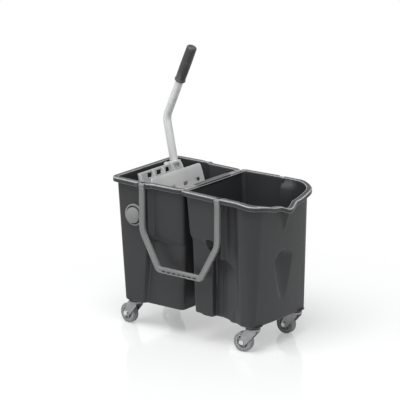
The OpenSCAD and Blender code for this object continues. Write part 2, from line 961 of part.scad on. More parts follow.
module lever_grip() {
    grip_start = lever_top - grip_l * lever_high;
    soft = 7;
    at_pivot()
        color([0.2, 0.2, 0.2])
            along(grip_start, lever_top)
                difference() {
                    rotate_extrude() {
                        square([grip_d / 2, grip_l - soft]);
                        square([grip_d / 2 - soft, grip_l]);
                        translate([grip_d / 2 - soft, grip_l - soft])
                            circle(r = soft);
                        square([grip_d / 2 + 1.5, 6]);
                    }
                    translate([0, 0, -1])
                        cylinder(d = tube_d + 2 * slip, h = grip_l + 1 + slip - grip_end);
                }
}
module lever_bolts() {
    at_pivot()
        color([0.75, 0.75, 0.75])
            along(socket_foot, lever_foot)
                for (h = bolt_rows)
                    translate([0, 0, h]) {
                        rod_y(bolt_d, -socket_d / 2 - bolt_head_t, socket_d / 2 + bolt_head_t);
                        rod_y(bolt_head_d, -socket_d / 2 - bolt_head_t, -socket_d / 2);
                        translate([0, socket_d / 2, 0])
                            rotate([-90, 0, 0])
                                cylinder(d = bolt_head_d, h = bolt_head_t - 1, $fn = 6);
                    }
}

// fixed sieve under the press: a bent plate between two side plates that hang on the rests
function path_in(path, i) = unit(path[max(i, 1)] - path[max(i, 1) - 1]);
function path_out(path, i) =
    let (k = min(i, len(path) - 2))
    unit(path[k + 1] - path[k]);
function edge_of(path, d) = [
    for (i = [0 : len(path) - 1])
        let (n = left_of(path_in(path, i)), m = left_of(path_out(path, i)))
        path[i] + d * (n + m) / (1 + n * m)
];
module ribbon(path) {
    polygon(concat(edge_of(path, sieve_t / 2), upside(edge_of(path, -sieve_t / 2))));
}
module sieve() {
    drain_line = unit(sieve_path[1] - sieve_path[2]);
    drain_tall = norm(sieve_path[1] - sieve_path[2]);
    step_at = (sieve_path[1].y - flange_z - sieve_t / 2) / (sieve_path[1].y - sieve_path[2].y);
    step = sieve_path[1] + step_at * (sieve_path[2] - sieve_path[1]);
    cheek_mid = (sieve_half + cheek_half) / 2;
    high_cheek = [
        sieve_path[0] - [1, 1],
        sieve_path[1],
        [sieve_path[1].x, flange_z + sieve_t / 2],
        [rest_x0, flange_z + sieve_t / 2],
        [sieve_path[2].x, pivot_z + back_h / 8],
        sieve_path[0] - [0.4 * back_h, 1]
    ];
    low_cheek = [
        step,
        sieve_path[2],
        sieve_path[3],
        sieve_path[4] + [1, 0],
        [sieve_path[4].x, flange_z - 6],
        [sieve_path[4].x + 4, step.y]
    ];
    centred()
        color([0.66, 0.66, 0.66])
            difference() {
                union() {
                    upright(-cheek_half, cheek_half)
                        ribbon([step + sieve_t * drain_line, sieve_path[2], sieve_path[3], sieve_path[4]]);
                    upright(-wide_cheek, wide_cheek)
                        ribbon([sieve_path[0], sieve_path[1], step]);
                    both_sides() {
                        upright(-cheek_half, -sieve_half)
                            polygon(low_cheek);
                        upright(-wide_cheek, -wide_half)
                            polygon(high_cheek);
                        translate([rest_x0, -wide_cheek - 0.5, flange_z])
                            cube([rest_x1 - rest_x0, wide_cheek + 0.5 - cheek_mid, sieve_t]);
                    }
                }
                for (row = [1 : 6])
                    for (k = [-4 : 4])
                        translate([sieve_path[2].x, 0, sieve_path[2].y])
                            rotate([0, atan2(drain_line.x, drain_line.y), 0])
                                translate([0, k * drain_step, row * drain_tall / 7])
                                    rod_x(drain_d, -drain_d, drain_d);
            }
}

// casters, drawn about their swivel with the wheel trailing to -X
function tail_x(c) =
    c.x - trail * cos(c.z)
    - (wheel_r - tread_r) * cos(c.z) - (wheel_w / 2 - tread_r) * abs(sin(c.z)) - tread_r;
module at_swivel(c) {
    centred()
        translate([c.x, c.y, 0])
            rotate([0, 0, c.z])
                children();
}
module caster_mount(c) {
    at_swivel(c)
        color([0.6, 0.6, 0.6]) {
            translate([0, 0, post_z - disc_t])
                cylinder(d = disc_d, h = disc_t);
            translate([0, 0, post_z - disc_t])
                cylinder(d = stem_d, h = stem_top - post_z + disc_t);
            translate([0, 0, fork_z - fork_t - 3])
                cylinder(d = king_d, h = fork_t + 4);
            translate([0, 0, fork_z - fork_t - air - 3.5])
                cylinder(d = king_d + 6, h = 3.5);
        }
}
module caster_fork(c) {
    cheek = [
        [disc_d / 2 - 6, fork_z - fork_t - 6, 5, 4],
        [disc_d / 2 - 6, fork_z, 1, 0],
        [-disc_d / 2 + 2, fork_z, 1, 0],
        [-trail - 9, wheel_r + 6, 12, 4],
        [-trail - 9, wheel_r - 9, 8.9, 6],
        [-trail + 9, wheel_r - 9, 8.9, 6]
    ];
    at_swivel(c)
        color([0.61, 0.61, 0.61])
            difference() {
                union() {
                    translate([0, 0, fork_z - fork_t])
                        cylinder(d = disc_d, h = fork_t);
                    both_sides()
                        upright(-cheek_in - cheek_t, -cheek_in)
                            polygon(rounded(cheek));
                    translate([-disc_d / 2 + 2, -cheek_in - cheek_t, fork_z - fork_t])
                        cube([disc_d - 8, 2 * (cheek_in + cheek_t), fork_t]);
                }
                translate([0, 0, fork_z - 2 * fork_t])
                    cylinder(d = king_d + 2 * run, h = 3 * fork_t);
                translate([-trail, 0, wheel_r])
                    rod_y(wheel_axle_d + 2 * slip, -wheel_d, wheel_d);
            }
}
module caster_axle(c) {
    head = 4;
    out = cheek_in + cheek_t + slip;
    at_swivel(c)
        translate([-trail, 0, wheel_r])
            color([0.7, 0.7, 0.7]) {
                rod_y(wheel_axle_d, -out - head, out + head + 1);
                translate([0, -out, 0])
                    rotate([90, 0, 0])
                        cylinder(d = wheel_axle_d + 6, h = head);
                translate([0, out, 0])
                    rotate([-90, 0, 0])
                        cylinder(d = wheel_axle_d + 6, h = head, $fn = 6);
            }
}
module caster_wheel(c) {
    at_swivel(c)
        translate([-trail, 0, wheel_r])
            rotate([90, 0, 0])
                color([0.55, 0.55, 0.55])
                    difference() {
                        union() {
                            rotate_extrude()
                                translate([0, -hub_w / 2])
                                    square([wheel_axle_d / 2 + 5, hub_w]);
                            rotate_extrude()
                                translate([0, -2])
                                    square([core_r, 4]);
                            rotate_extrude()
                                translate([core_r - 4, -wheel_w / 2 + 1])
                                    square([4, wheel_w - 2]);
                            for (k = [0 : 4])
                                rotate([0, 0, 72 * k])
                                    translate([wheel_axle_d / 2 + 3, -1.25, -wheel_w / 2 + 3])
                                        cube([core_r - wheel_axle_d / 2 - 5, 2.5, wheel_w - 6]);
                        }
                        cylinder(d = wheel_axle_d + 2 * run, h = wheel_d, center = true);
                    }
}
module caster_tyre(c) {
    half_w = wheel_w / 2;
    at_swivel(c)
        translate([-trail, 0, wheel_r])
            rotate([90, 0, 0])
                color([0.4, 0.4, 0.4])
                    rotate_extrude() {
                        translate([core_r + slip, -half_w])
                            square([wheel_r - tread_r - core_r - slip, wheel_w]);
                        translate([core_r + slip, -half_w + tread_r])
                            square([wheel_r - core_r - slip, wheel_w - 2 * tread_r]);
                        for (side = [-1, 1])
                            translate([wheel_r - tread_r, side * (half_w - tread_r)])
                                circle(r = tread_r);
                    }
}
module caster_fl_mount() {
    caster_mount(front_left);
}
module caster_fl_fork() {
    caster_fork(front_left);
}
module caster_fl_axle() {
    caster_axle(front_left);
}
module caster_fl_wheel() {
    caster_wheel(front_left);
}
module caster_fl_tyre() {
    caster_tyre(front_left);
}
module caster_bl_mount() {
    caster_mount(back_left);
}
module caster_bl_fork() {
    caster_fork(back_left);
}
module caster_bl_axle() {
    caster_axle(back_left);
}
module caster_bl_wheel() {
    caster_wheel(back_left);
}
module caster_bl_tyre() {
    caster_tyre(back_left);
}
module caster_fr_mount() {
    caster_mount(front_right);
}
module caster_fr_fork() {
    caster_fork(front_right);
}
module caster_fr_axle() {
    caster_axle(front_right);
}
module caster_fr_wheel() {
    caster_wheel(front_right);
}
module caster_fr_tyre() {
    caster_tyre(front_right);
}
module caster_br_mount() {
    caster_mount(back_right);
}
module caster_br_fork() {
    caster_fork(back_right);
}
module caster_br_axle() {
    caster_axle(back_right);
}
module caster_br_wheel() {
    caster_wheel(back_right);
}
module caster_br_tyre() {
    caster_tyre(back_right);
}

bucket_wash();
bucket_rinse();
handle_front();
handle_back();
handle_pins_front();
handle_pins_back();
press_axle();
cover_ring_front();
cover_ring_back();
cover_button_front();
cover_button_back();
press_jaw();
press_lever();
lever_grip();
lever_bolts();
sieve();
caster_fl_mount();
caster_fl_fork();
caster_fl_axle();
caster_fl_wheel();
caster_fl_tyre();
caster_bl_mount();
caster_bl_fork();
caster_bl_axle();
caster_bl_wheel();
caster_bl_tyre();
caster_fr_mount();
caster_fr_fork();
caster_fr_axle();
caster_fr_wheel();
caster_fr_tyre();
caster_br_mount();
caster_br_fork();
caster_br_axle();
caster_br_wheel();
caster_br_tyre();
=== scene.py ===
"""Looks of a double mop bucket trolley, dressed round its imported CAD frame.

Sizes are millimetres in the drawing's own axes: z up from the floor, x = 0 in the gap between the
two buckets with the wash bucket at -x, and y = 0 at mid depth with the front at -y. Surface.piece
moves finished points to metres in the row frame.
"""

import json
import logging
import math
from dataclasses import dataclass
from enum import Enum
from functools import cached_property
from typing import Any, Optional, Sequence, Union

import bpy
import numpy as np
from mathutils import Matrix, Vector


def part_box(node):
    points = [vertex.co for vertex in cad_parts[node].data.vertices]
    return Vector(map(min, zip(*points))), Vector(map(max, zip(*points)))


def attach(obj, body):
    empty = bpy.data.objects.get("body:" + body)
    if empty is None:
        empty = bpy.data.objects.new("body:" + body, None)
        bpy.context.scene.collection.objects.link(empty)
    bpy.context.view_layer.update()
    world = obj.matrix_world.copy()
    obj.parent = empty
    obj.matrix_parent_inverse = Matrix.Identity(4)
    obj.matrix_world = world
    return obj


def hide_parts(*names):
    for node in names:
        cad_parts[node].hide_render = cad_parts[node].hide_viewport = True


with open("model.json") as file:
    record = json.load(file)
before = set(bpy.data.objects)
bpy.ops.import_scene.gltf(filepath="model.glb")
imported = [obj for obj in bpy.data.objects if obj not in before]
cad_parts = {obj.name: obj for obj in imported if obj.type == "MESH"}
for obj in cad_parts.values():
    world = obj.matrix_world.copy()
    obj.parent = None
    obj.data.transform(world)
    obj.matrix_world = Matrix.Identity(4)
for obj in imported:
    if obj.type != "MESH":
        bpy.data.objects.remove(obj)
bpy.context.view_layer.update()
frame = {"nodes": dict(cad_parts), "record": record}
LOG = logging.getLogger("trolley")
AXLE_X, AXLE_Z = -179.0, 358.0  # the press axle
MM = 0.001  # metres in a millimetre

Pair = tuple[float, float]
Triple = tuple[float, float, float]
Colour = Triple  # linear red, green and blue
Corners = Sequence[Sequence[float]]  # x, y and radius of each corner, counter-clockwise
Points = np.ndarray
Value = Union["Wire", float, int]


class Slot(Enum):
    """Material slots of the record."""

    BUCKET = "bucket"
    HANDLE = "handle"
    STEEL = "steel"
    COVER = "cover"
    PRESS = "press"
    SIEVE = "sieve"
    LEVER = "lever"
    GRIP = "grip"
    ZINC = "zinc"
    WHEEL = "wheel"
    TYRE = "tyre"


class Body(Enum):
    """Moving bodies that carry more than one kind of piece."""

    BUCKETS = "buckets"
    PRESS = "press"
    FRONT_HANDLE = "front_handle"
    BACK_HANDLE = "back_handle"


class Side(Enum):
    """Front and back, with the sign that turns a front shape to that side."""

    FRONT = 1.0
    BACK = -1.0

    @property
    def label(self) -> str:
        """Word for the side in names."""
        return self.name.lower()


class Corner(Enum):
    """Casters: short name, swivel along the length and across the depth, turn of the wheel."""

    FRONT_LEFT = ("fl", -209.0, -104.0, -10.0)
    BACK_LEFT = ("bl", -209.0, 104.0, -5.0)
    FRONT_RIGHT = ("fr", 231.0, -104.0, 8.0)
    BACK_RIGHT = ("br", 231.0, 104.0, 0.0)


class Wire:
    """A shader socket that takes part in arithmetic."""

    def __init__(self, graph: "Graph", socket: bpy.types.NodeSocket) -> None:
        """Keeps the graph and the output socket."""
        self.graph = graph
        self.socket = socket

    def __add__(self, other: Value) -> "Wire":
        """Sum of two values."""
        return self.graph.math("ADD", self, other)

    __radd__ = __add__

    def __mul__(self, other: Value) -> "Wire":
        """Product of two values."""
        return self.graph.math("MULTIPLY", self, other)

    __rmul__ = __mul__

    def __sub__(self, other: Value) -> "Wire":
        """Difference of two values."""
        return self.graph.math("SUBTRACT", self, other)

    def __rsub__(self, other: Value) -> "Wire":
        """Difference with the number first."""
        return self.graph.math("SUBTRACT", other, self)

    def band(self, low: float, high: float) -> "Wire":
        """Smooth step from 0 at low to 1 at high.

        Args:
            low: value that gives 0.
            high: value that gives 1.

        Returns:
            The stepped value.
        """
        return self.graph.node(
            "ShaderNodeMapRange",
            {"interpolation_type": "SMOOTHSTEP"},
            {0: self, 1: low, 2: high, 3: 0.0, 4: 1.0},
        )


class Graph:
    """Node tree of a material or a world."""

    def __init__(self, owner: Union[bpy.types.Material, bpy.types.World]) -> None:
        """Clears the tree.

        Args:
            owner: material or world whose nodes are built.
        """
        owner.use_nodes = True
        self.tree = owner.node_tree
        self.tree.nodes.clear()

    @cached_property
    def place(self) -> Wire:
        """Object coordinates."""
        return self.node("ShaderNodeTexCoord", {}, {}, "Object")

    def node(
        self,
        kind: str,
        settings: dict[str, Any],
        inputs: dict[Union[int, str], Any],
        out: Union[int, str] = 0,
    ) -> Wire:
        """Adds one node.

        Args:
            kind: node type.
            settings: node properties, set before the sockets.
            inputs: values or wires for its inputs.
            out: output socket that is wanted.

        Returns:
            The wanted output.
        """
        made = self.tree.nodes.new(kind)
        for name, value in settings.items():
            setattr(made, name, value)
        for key, value in inputs.items():
            if isinstance(value, Wire):
                self.tree.links.new(value.socket, made.inputs[key])
            else:
                made.inputs[key].default_value = value
        return Wire(self, made.outputs[out])

    def math(self, operation: str, first: Value, second: Value) -> Wire:
        """Adds one Math node."""
        return self.node("ShaderNodeMath", {"operation": operation}, {0: first, 1: second})

    def mix(self, factor: Value, first: Any, second: Any) -> Wire:
        """Mixes two colours.

        Args:
            factor: share of the second colour.
            first: colour or wire at 0.
            second: colour or wire at 1.

        Returns:
            The mixed colour.
        """
        ends = [c if isinstance(c, Wire) else (*c, 1.0) for c in (first, second)]
        return self.node(
            "ShaderNodeMix",
            {"data_type": "RGBA"},
            {0: factor, 6: ends[0], 7: ends[1]},
            2,
        )

    def noise(self, scale: float, detail: float = 3.0, stretch: Optional[Triple] = None) -> Wire:
        """Noise in object coordinates.

        Args:
            scale: lumps per metre.
            detail: octaves.
            stretch: scale along each axis, for drawn or brushed grain.

        Returns:
            Noise from 0 to 1.
        """
        where = self.place
        if stretch is not None:
            stretched = {"Vector": where, "Scale": stretch}
            where = self.node("ShaderNodeMapping", {}, stretched, "Vector")
        return self.node(
            "ShaderNodeTexNoise",
            {"noise_dimensions": "3D"},
            {"Vector": where, "Scale": scale, "Detail": detail, "Roughness": 0.55},
        )

    def edge(self) -> Wire:
        """Share of edge at a point, from the attribute that Surface writes."""
        return self.node("ShaderNodeAttribute", {"attribute_name": "edge"}, {}, "Fac")

    def bump(self, height: Wire, strength: float, distance: float) -> Wire:
        """Bump map of a height."""
        inputs = {"Height": height, "Strength": strength, "Distance": distance}
        return self.node("ShaderNodeBump", {}, inputs, "Normal")

    def seen(self) -> Wire:
        """Share of a ray that looks, not lights.

        Returns:
            1 for rays from the camera, straight, by gloss or through glass, and 0 for the rest.
        """
        camera, gloss, glass = (
            self.node("ShaderNodeLightPath", {}, {}, f"Is {kind} Ray")
            for kind in ("Camera", "Glossy", "Transmission")
        )
        return camera + gloss + glass

    def principled(self, inputs: dict[str, Any]) -> Wire:
        """Principled shader with values or wires for its inputs."""
        return self.node("ShaderNodeBsdfPrincipled", {}, inputs, "BSDF")

    def close(self, shader: Wire, kind: str = "ShaderNodeOutputMaterial") -> None:
        """Links a shader to the tree's output."""
        target = self.tree.nodes.new(kind)
        self.tree.links.new(shader.socket, target.inputs["Surface"])


@dataclass(frozen=True)
class Finish:
    """A finish: its name, colour and gloss, with the grain that all finishes share.

    Attributes:
        name: material name.
        colour: linear base colour.
        roughness: mean roughness.
        grain: strength of the fine surface texture.
        worn_and_highlight: colour of lightened edges, for rubbed wear and for painted highlights.
        wear_and_highlight: share of that colour on edges, as rubbed wear and as painted highlight.
    """

    name: str
    colour: Colour
    roughness: float
    grain: float = 0.12
    worn_and_highlight: Colour = (0.3, 0.3, 0.3)
    wear_and_highlight: float = 0.25

    def shade(self, share: float) -> Colour:
        """Base colour times a share."""
        return tuple(share * c for c in self.colour)

    def build(self) -> bpy.types.Material:
        """Makes the material.

        Returns:
            The material, made once for each finish.
        """
        made = bpy.data.materials.get(self.name)
        if made is None:
            made = bpy.data.materials.new(self.name)
            made.diffuse_color = (*self.colour, 1.0)
            graph = Graph(made)
            graph.close(graph.principled(self.paint(graph)))
        return made

    def paint(self, graph: Graph) -> dict[str, Any]:
        """Inputs of the Principled shader."""
        raise NotImplementedError


@dataclass(frozen=True)
class MouldedPlastic(Finish):
    """Satin polypropylene with spark-eroded grain, flow marks, and edges lightened as wear and as
    painted highlight.

    Attributes:
        flow: depth of the slow tone changes.
        marks: flow marks per metre.
        way: stretch of the flow marks along each axis.
        scuffs: scuffs per metre.
        coarse: grain lumps per metre.
        sheen: strength of the mirror part of the gloss.
    """

    flow: float = 0.1
    marks: float = 7.0
    way: Triple = (1.0, 1.0, 0.45)
    scuffs: float = 42.0
    coarse: float = 1500.0
    sheen: float = 0.5

    def paint(self, graph: Graph) -> dict[str, Any]:
        """Colour from flow marks and from edges lightened as wear and as painted highlight, gloss
        from scuffs, bump from the grain.

        Args:
            graph: node tree that is filled.

        Returns:
            Inputs of the Principled shader.
        """
        flow = graph.noise(self.marks, 4.0, self.way)
        scuff = graph.noise(self.scuffs, 5.0)
        speck = graph.noise(self.coarse, 2.0)
        pale, deep = self.shade(1 + self.flow), self.shade(1 - self.flow)
        # painted highlight and wear: curved edges are mixed towards a pale colour, broken up by
        # scuff noise; on the bucket rim this stands in for light caught by the rounded edges
        rubbed_and_highlight = graph.edge() * self.wear_and_highlight * (0.55 + 0.45 * scuff.band(0.25, 0.6))
        return {
            "Base Color": graph.mix(rubbed_and_highlight, graph.mix(flow.band(0.3, 0.7), deep, pale), self.worn_and_highlight),
            "Roughness": self.roughness + 0.16 * (scuff - 0.5) + 0.05 * (speck - 0.5),
            "IOR": 1.49,
            "Specular IOR Level": self.sheen,
            "Normal": graph.bump(speck, self.grain, 0.0004),
        }


@dataclass(frozen=True)
class PlatedSteel(Finish):
    """Zinc plated steel with drawn grain, cloudy plating and edges made bright as wear and as
    painted highlight.

    Attributes:
        clouds: clouds in the plating per metre.
        lines: drawn lines per metre.
        way: stretch of the lines along each axis.
    """

    clouds: float = 60.0
    lines: float = 900.0
    way: Triple = (1.0, 1.0, 0.08)

    def paint(self, graph: Graph) -> dict[str, Any]:
        """Colour from clouds in the plating, gloss and bump from fine drawn lines.

        Args:
            graph: node tree that is filled.

        Returns:
            Inputs of the Principled shader.
        """
        cloud = graph.noise(self.clouds, 4.0)
        drawn = graph.noise(self.lines, 3.0, self.way)
        tone = graph.mix(cloud.band(0.3, 0.7), self.shade(0.86), self.shade(1.1))
        return {
            # edges mixed towards a pale colour: wear, and painted highlight
            "Base Color": graph.mix(graph.edge() * self.wear_and_highlight, tone, self.worn_and_highlight),
            "Metallic": 0.85 + 0.3 * (cloud - 0.5),
            "Roughness": self.roughness + 0.2 * (drawn - 0.5) + 0.12 * (cloud - 0.5),
            "Normal": graph.bump(drawn, self.grain, 0.0002),
        }


@dataclass(frozen=True)
class PowderCoat(Finish):
    """Powder coated tube with orange peel and scuffs.

    Attributes:
        peel: lumps of the orange peel per metre.
        scuffs: scuffs per metre.
        way: stretch of the scuffs along each axis.
    """

    peel: float = 420.0
    scuffs: float = 55.0
    way: Triple = (1.0, 1.0, 0.3)

    def paint(self, graph: Graph) -> dict[str, Any]:
        """Colour with faint clouds, bump from orange peel, gloss from scuffs.

        Args:
            graph: node tree that is filled.

        Returns:
            Inputs of the Principled shader.
        """
        peel = graph.noise(self.peel, 2.0)
        scuff = graph.noise(self.scuffs, 5.0, self.way)
        tone = graph.mix(scuff.band(0.35, 0.75), self.colour, self.shade(0.93))
        return {
            # edges mixed towards a pale colour: wear, and painted highlight
            "Base Color": graph.mix(graph.edge() * self.wear_and_highlight, tone, self.worn_and_highlight),
            "Roughness": self.roughness + 0.2 * (scuff - 0.5),
            "Coat Weight": 0.25 * scuff.band(0.7, 0.3),
            "Coat Roughness": 0.2,
            "Normal": graph.bump(peel, self.grain, 0.0005),
        }


@dataclass(frozen=True)
class Rubber(Finish):
    """Matt rubber with a fine grain and patches of dust.

    Attributes:
        dust: colour of the dust.
        dusty: share of dust in a patch.
        patches: patches of dust per metre.
        coarse: grain lumps per metre.
    """

    dust: Colour = (0.3, 0.3, 0.29)
    dusty: float = 0.25
    patches: float = 35.0
    coarse: float = 1900.0

    def paint(self, graph: Graph) -> dict[str, Any]:
        """Colour from dust, bump from the grain.

        Args:
            graph: node tree that is filled.

        Returns:
            Inputs of the Principled shader.
        """
        dust = graph.noise(self.patches, 6.0)
        speck = graph.noise(self.coarse, 2.0)
        tone = graph.mix(dust.band(0.5, 0.85) * self.dusty, self.colour, self.dust)
        return {
            # edges mixed towards a pale colour: wear, and painted highlight
            "Base Color": graph.mix(graph.edge() * self.wear_and_highlight, tone, self.worn_and_highlight),
            "Roughness": self.roughness + 0.14 * (dust - 0.5),
            "Normal": graph.bump(speck, self.grain, 0.0005),
        }


def grey(level: float) -> Colour:
    """Neutral grey of one linear level."""
    return (level, level, level)


FINISHES: dict[Slot, Finish] = {
    # bucket: the pale edge colour and its high share paint a highlight along the rim's rounded
    # edges
    Slot.BUCKET: MouldedPlastic(
        "dark_grey_polypropylene",
        (0.026, 0.0265, 0.028),
        0.4,
        worn_and_highlight=(0.42, 0.42, 0.43),
        wear_and_highlight=0.7,
        sheen=0.32,
    ),
    Slot.HANDLE: MouldedPlastic("mid_grey_polypropylene", grey(0.155), 0.42, worn_and_highlight=grey(0.45)),
    Slot.STEEL: PlatedSteel("plated_steel", (0.62, 0.62, 0.63), 0.3, worn_and_highlight=grey(0.8)),
    Slot.COVER: MouldedPlastic("cover_grey_plastic", (0.17, 0.174, 0.17), 0.42, worn_and_highlight=grey(0.5)),
    Slot.PRESS: MouldedPlastic(
        "light_grey_polypropylene", (0.4, 0.4, 0.395), 0.42, worn_and_highlight=grey(0.65)
    ),
    Slot.SIEVE: MouldedPlastic(
        "sieve_grey_polypropylene", (0.4, 0.4, 0.39), 0.45, worn_and_highlight=grey(0.6)
    ),
    Slot.LEVER: PowderCoat("light_grey_powder_coat", grey(0.52), 0.28, worn_and_highlight=grey(0.7)),
    Slot.GRIP: Rubber("dark_rubber", (0.027, 0.027, 0.029), 0.55, worn_and_highlight=grey(0.12)),
    Slot.ZINC: PlatedSteel("zinc_plated_pressing", (0.31, 0.31, 0.32), 0.42, worn_and_highlight=grey(0.75)),
    Slot.WHEEL: MouldedPlastic("grey_wheel_plastic", grey(0.3), 0.45, worn_and_highlight=grey(0.5)),
    Slot.TYRE: Rubber("grey_tread_rubber", grey(0.2), 0.6, worn_and_highlight=grey(0.3)),
}


@dataclass(frozen=True)
class Lamp:
    """A square lamp that faces the object.

    Attributes:
        name: lamp name.
        place: where it hangs, in metres.
        size: side of the square, in metres.
        power: watts.
        aim: point that it faces, in metres.
    """

    name: str
    place: Triple
    size: float
    power: float
    aim: Triple = (0.0, 0.0, 0.3)

    def hang(self) -> None:
        """Adds the lamp to the scene."""
        light = bpy.data.lights.new(self.name, "AREA")
        light.size = self.size
        light.energy = self.power
        made = bpy.data.objects.new(self.name, light)
        bpy.context.scene.collection.objects.link(made)
        made.location = self.place
        way = Vector(self.aim) - Vector(self.place)
        made.rotation_euler = way.to_track_quat("-Z", "Y").to_euler()


@dataclass(frozen=True)
class Studio:
    """Pale floor, soft lamps and the photo's camera.

    Attributes:
        look: point that the fitted camera looks at.
        azimuth: camera angle round the object, in degrees.
        elevation: camera angle above the horizon, in degrees.
        distance: from the camera to the look point.
        slide: shift of the camera across and up, which centres the picture.
        lens: focal length on the sensor.
        sensor: width of the sensor.
        half_floor: half side of the floor, in metres.
        floor_white: how white the floor is.
        floor_glow: share of plain white in the floor round the object.
        fade: distances from the object where the fade to plain white starts and ends, in metres.
        sky: colour of the soft light from all round.
        sky_light: strength of that light.
        lamps: lamps of the studio.
    """

    look: Triple = (25.76, 0.0, 330.0)
    azimuth: float = 37.716
    elevation: float = 15.734
    distance: float = 8383.7
    slide: Pair = (-67.7, 75.4)
    lens: float = 253.96
    sensor: float = 36.0
    half_floor: float = 30.0
    floor_white: float = 0.72
    floor_glow: float = 0.35
    fade: Pair = (0.35, 1.0)
    sky: Colour = (0.94, 0.97, 1.0)
    sky_light: float = 0.5
    lamps: tuple[Lamp, ...] = (
        Lamp("key_lamp", (-2.2, -2.6, 3.2), 2.4, 34.0),
        Lamp("top_lamp", (0.4, -1.3, 3.4), 2.4, 150.0),
        Lamp("right_lamp", (3.0, -1.2, 2.3), 1.8, 10.0),
    )

    def build(self) -> None:
        """Makes the floor, world, lamps and camera."""
        self.floor()
        self.world()
        for lamp in self.lamps:
            lamp.hang()
        self.camera()
        bpy.context.scene.view_settings.view_transform = "Standard"

    def floor(self) -> None:
        """Flat white floor with a soft gloss; a level square, z = 0 over both parameters.

        Towards the horizon the floor fades to plain white, so the object's shadow lies on white.
        """
        edge = np.linspace(-self.half_floor, self.half_floor, 5)
        x, y = np.meshgrid(edge, edge)
        points = np.stack([x, y, 0 * x], axis=-1)
        mesh = bpy.data.meshes.new("floor")
        mesh.from_pydata(points.reshape(-1, 3), [], Surface.quads(len(edge), len(edge), False))
        made = bpy.data.objects.new("floor", mesh)
        bpy.context.scene.collection.objects.link(made)
        material = bpy.data.materials.new("white_floor")
        graph = Graph(material)
        cloud = graph.noise(0.8, 3.0)
        tone = graph.mix(cloud, grey(self.floor_white), grey(self.floor_white * 0.995))
        gloss = 0.1 + 0.04 * cloud
        shaded = graph.principled({"Base Color": tone, "Roughness": gloss, "IOR": 1.5})
        bright = graph.node("ShaderNodeEmission", {}, {"Color": (*grey(1.0), 1.0), "Strength": 1.0})
        length = {"operation": "LENGTH"}
        away = graph.node("ShaderNodeVectorMath", length, {0: graph.place}, "Value")
        share = self.floor_glow + (1 - self.floor_glow) * away.band(*self.fade)
        parts = {0: share * graph.seen(), 1: shaded, 2: bright}
        graph.close(graph.node("ShaderNodeMixShader", {}, parts))
        mesh.materials.append(material)

    def world(self) -> None:
        """White to the camera and in mirrors, softer as a light."""
        world = bpy.data.worlds.new("studio")
        bpy.context.scene.world = world
        graph = Graph(world)
        soft, white = (
            graph.node("ShaderNodeBackground", {}, {"Color": (*colour, 1.0), "Strength": strength})
            for colour, strength in ((self.sky, self.sky_light), (grey(1.0), 1.0))
        )
        mixed = graph.node("ShaderNodeMixShader", {}, {0: graph.seen(), 1: soft, 2: white})
        graph.close(mixed, "ShaderNodeOutputWorld")

    def camera(self) -> None:
        """Places the camera of the photo."""
        turn, lift = math.radians(self.azimuth), math.radians(self.elevation)
        ahead = Vector((math.sin(turn), -math.cos(turn), 0.0))
        back = math.cos(lift) * ahead + Vector((0.0, 0.0, math.sin(lift)))
        right = Vector((math.cos(turn), math.sin(turn), 0.0))
        up = back.cross(right)
        target = Vector(self.look) + self.slide[0] * right + self.slide[1] * up
        data = bpy.data.cameras.new("photo_camera")
        data.lens = self.lens
        data.sensor_width = self.sensor
        data.clip_end = 100.0
        made = bpy.data.objects.new("photo_camera", data)
        bpy.context.scene.collection.objects.link(made)
        made.location = (target + self.distance * back) * MM
        made.rotation_euler = back.to_track_quat("Z", "Y").to_euler()
        bpy.context.scene.camera = made


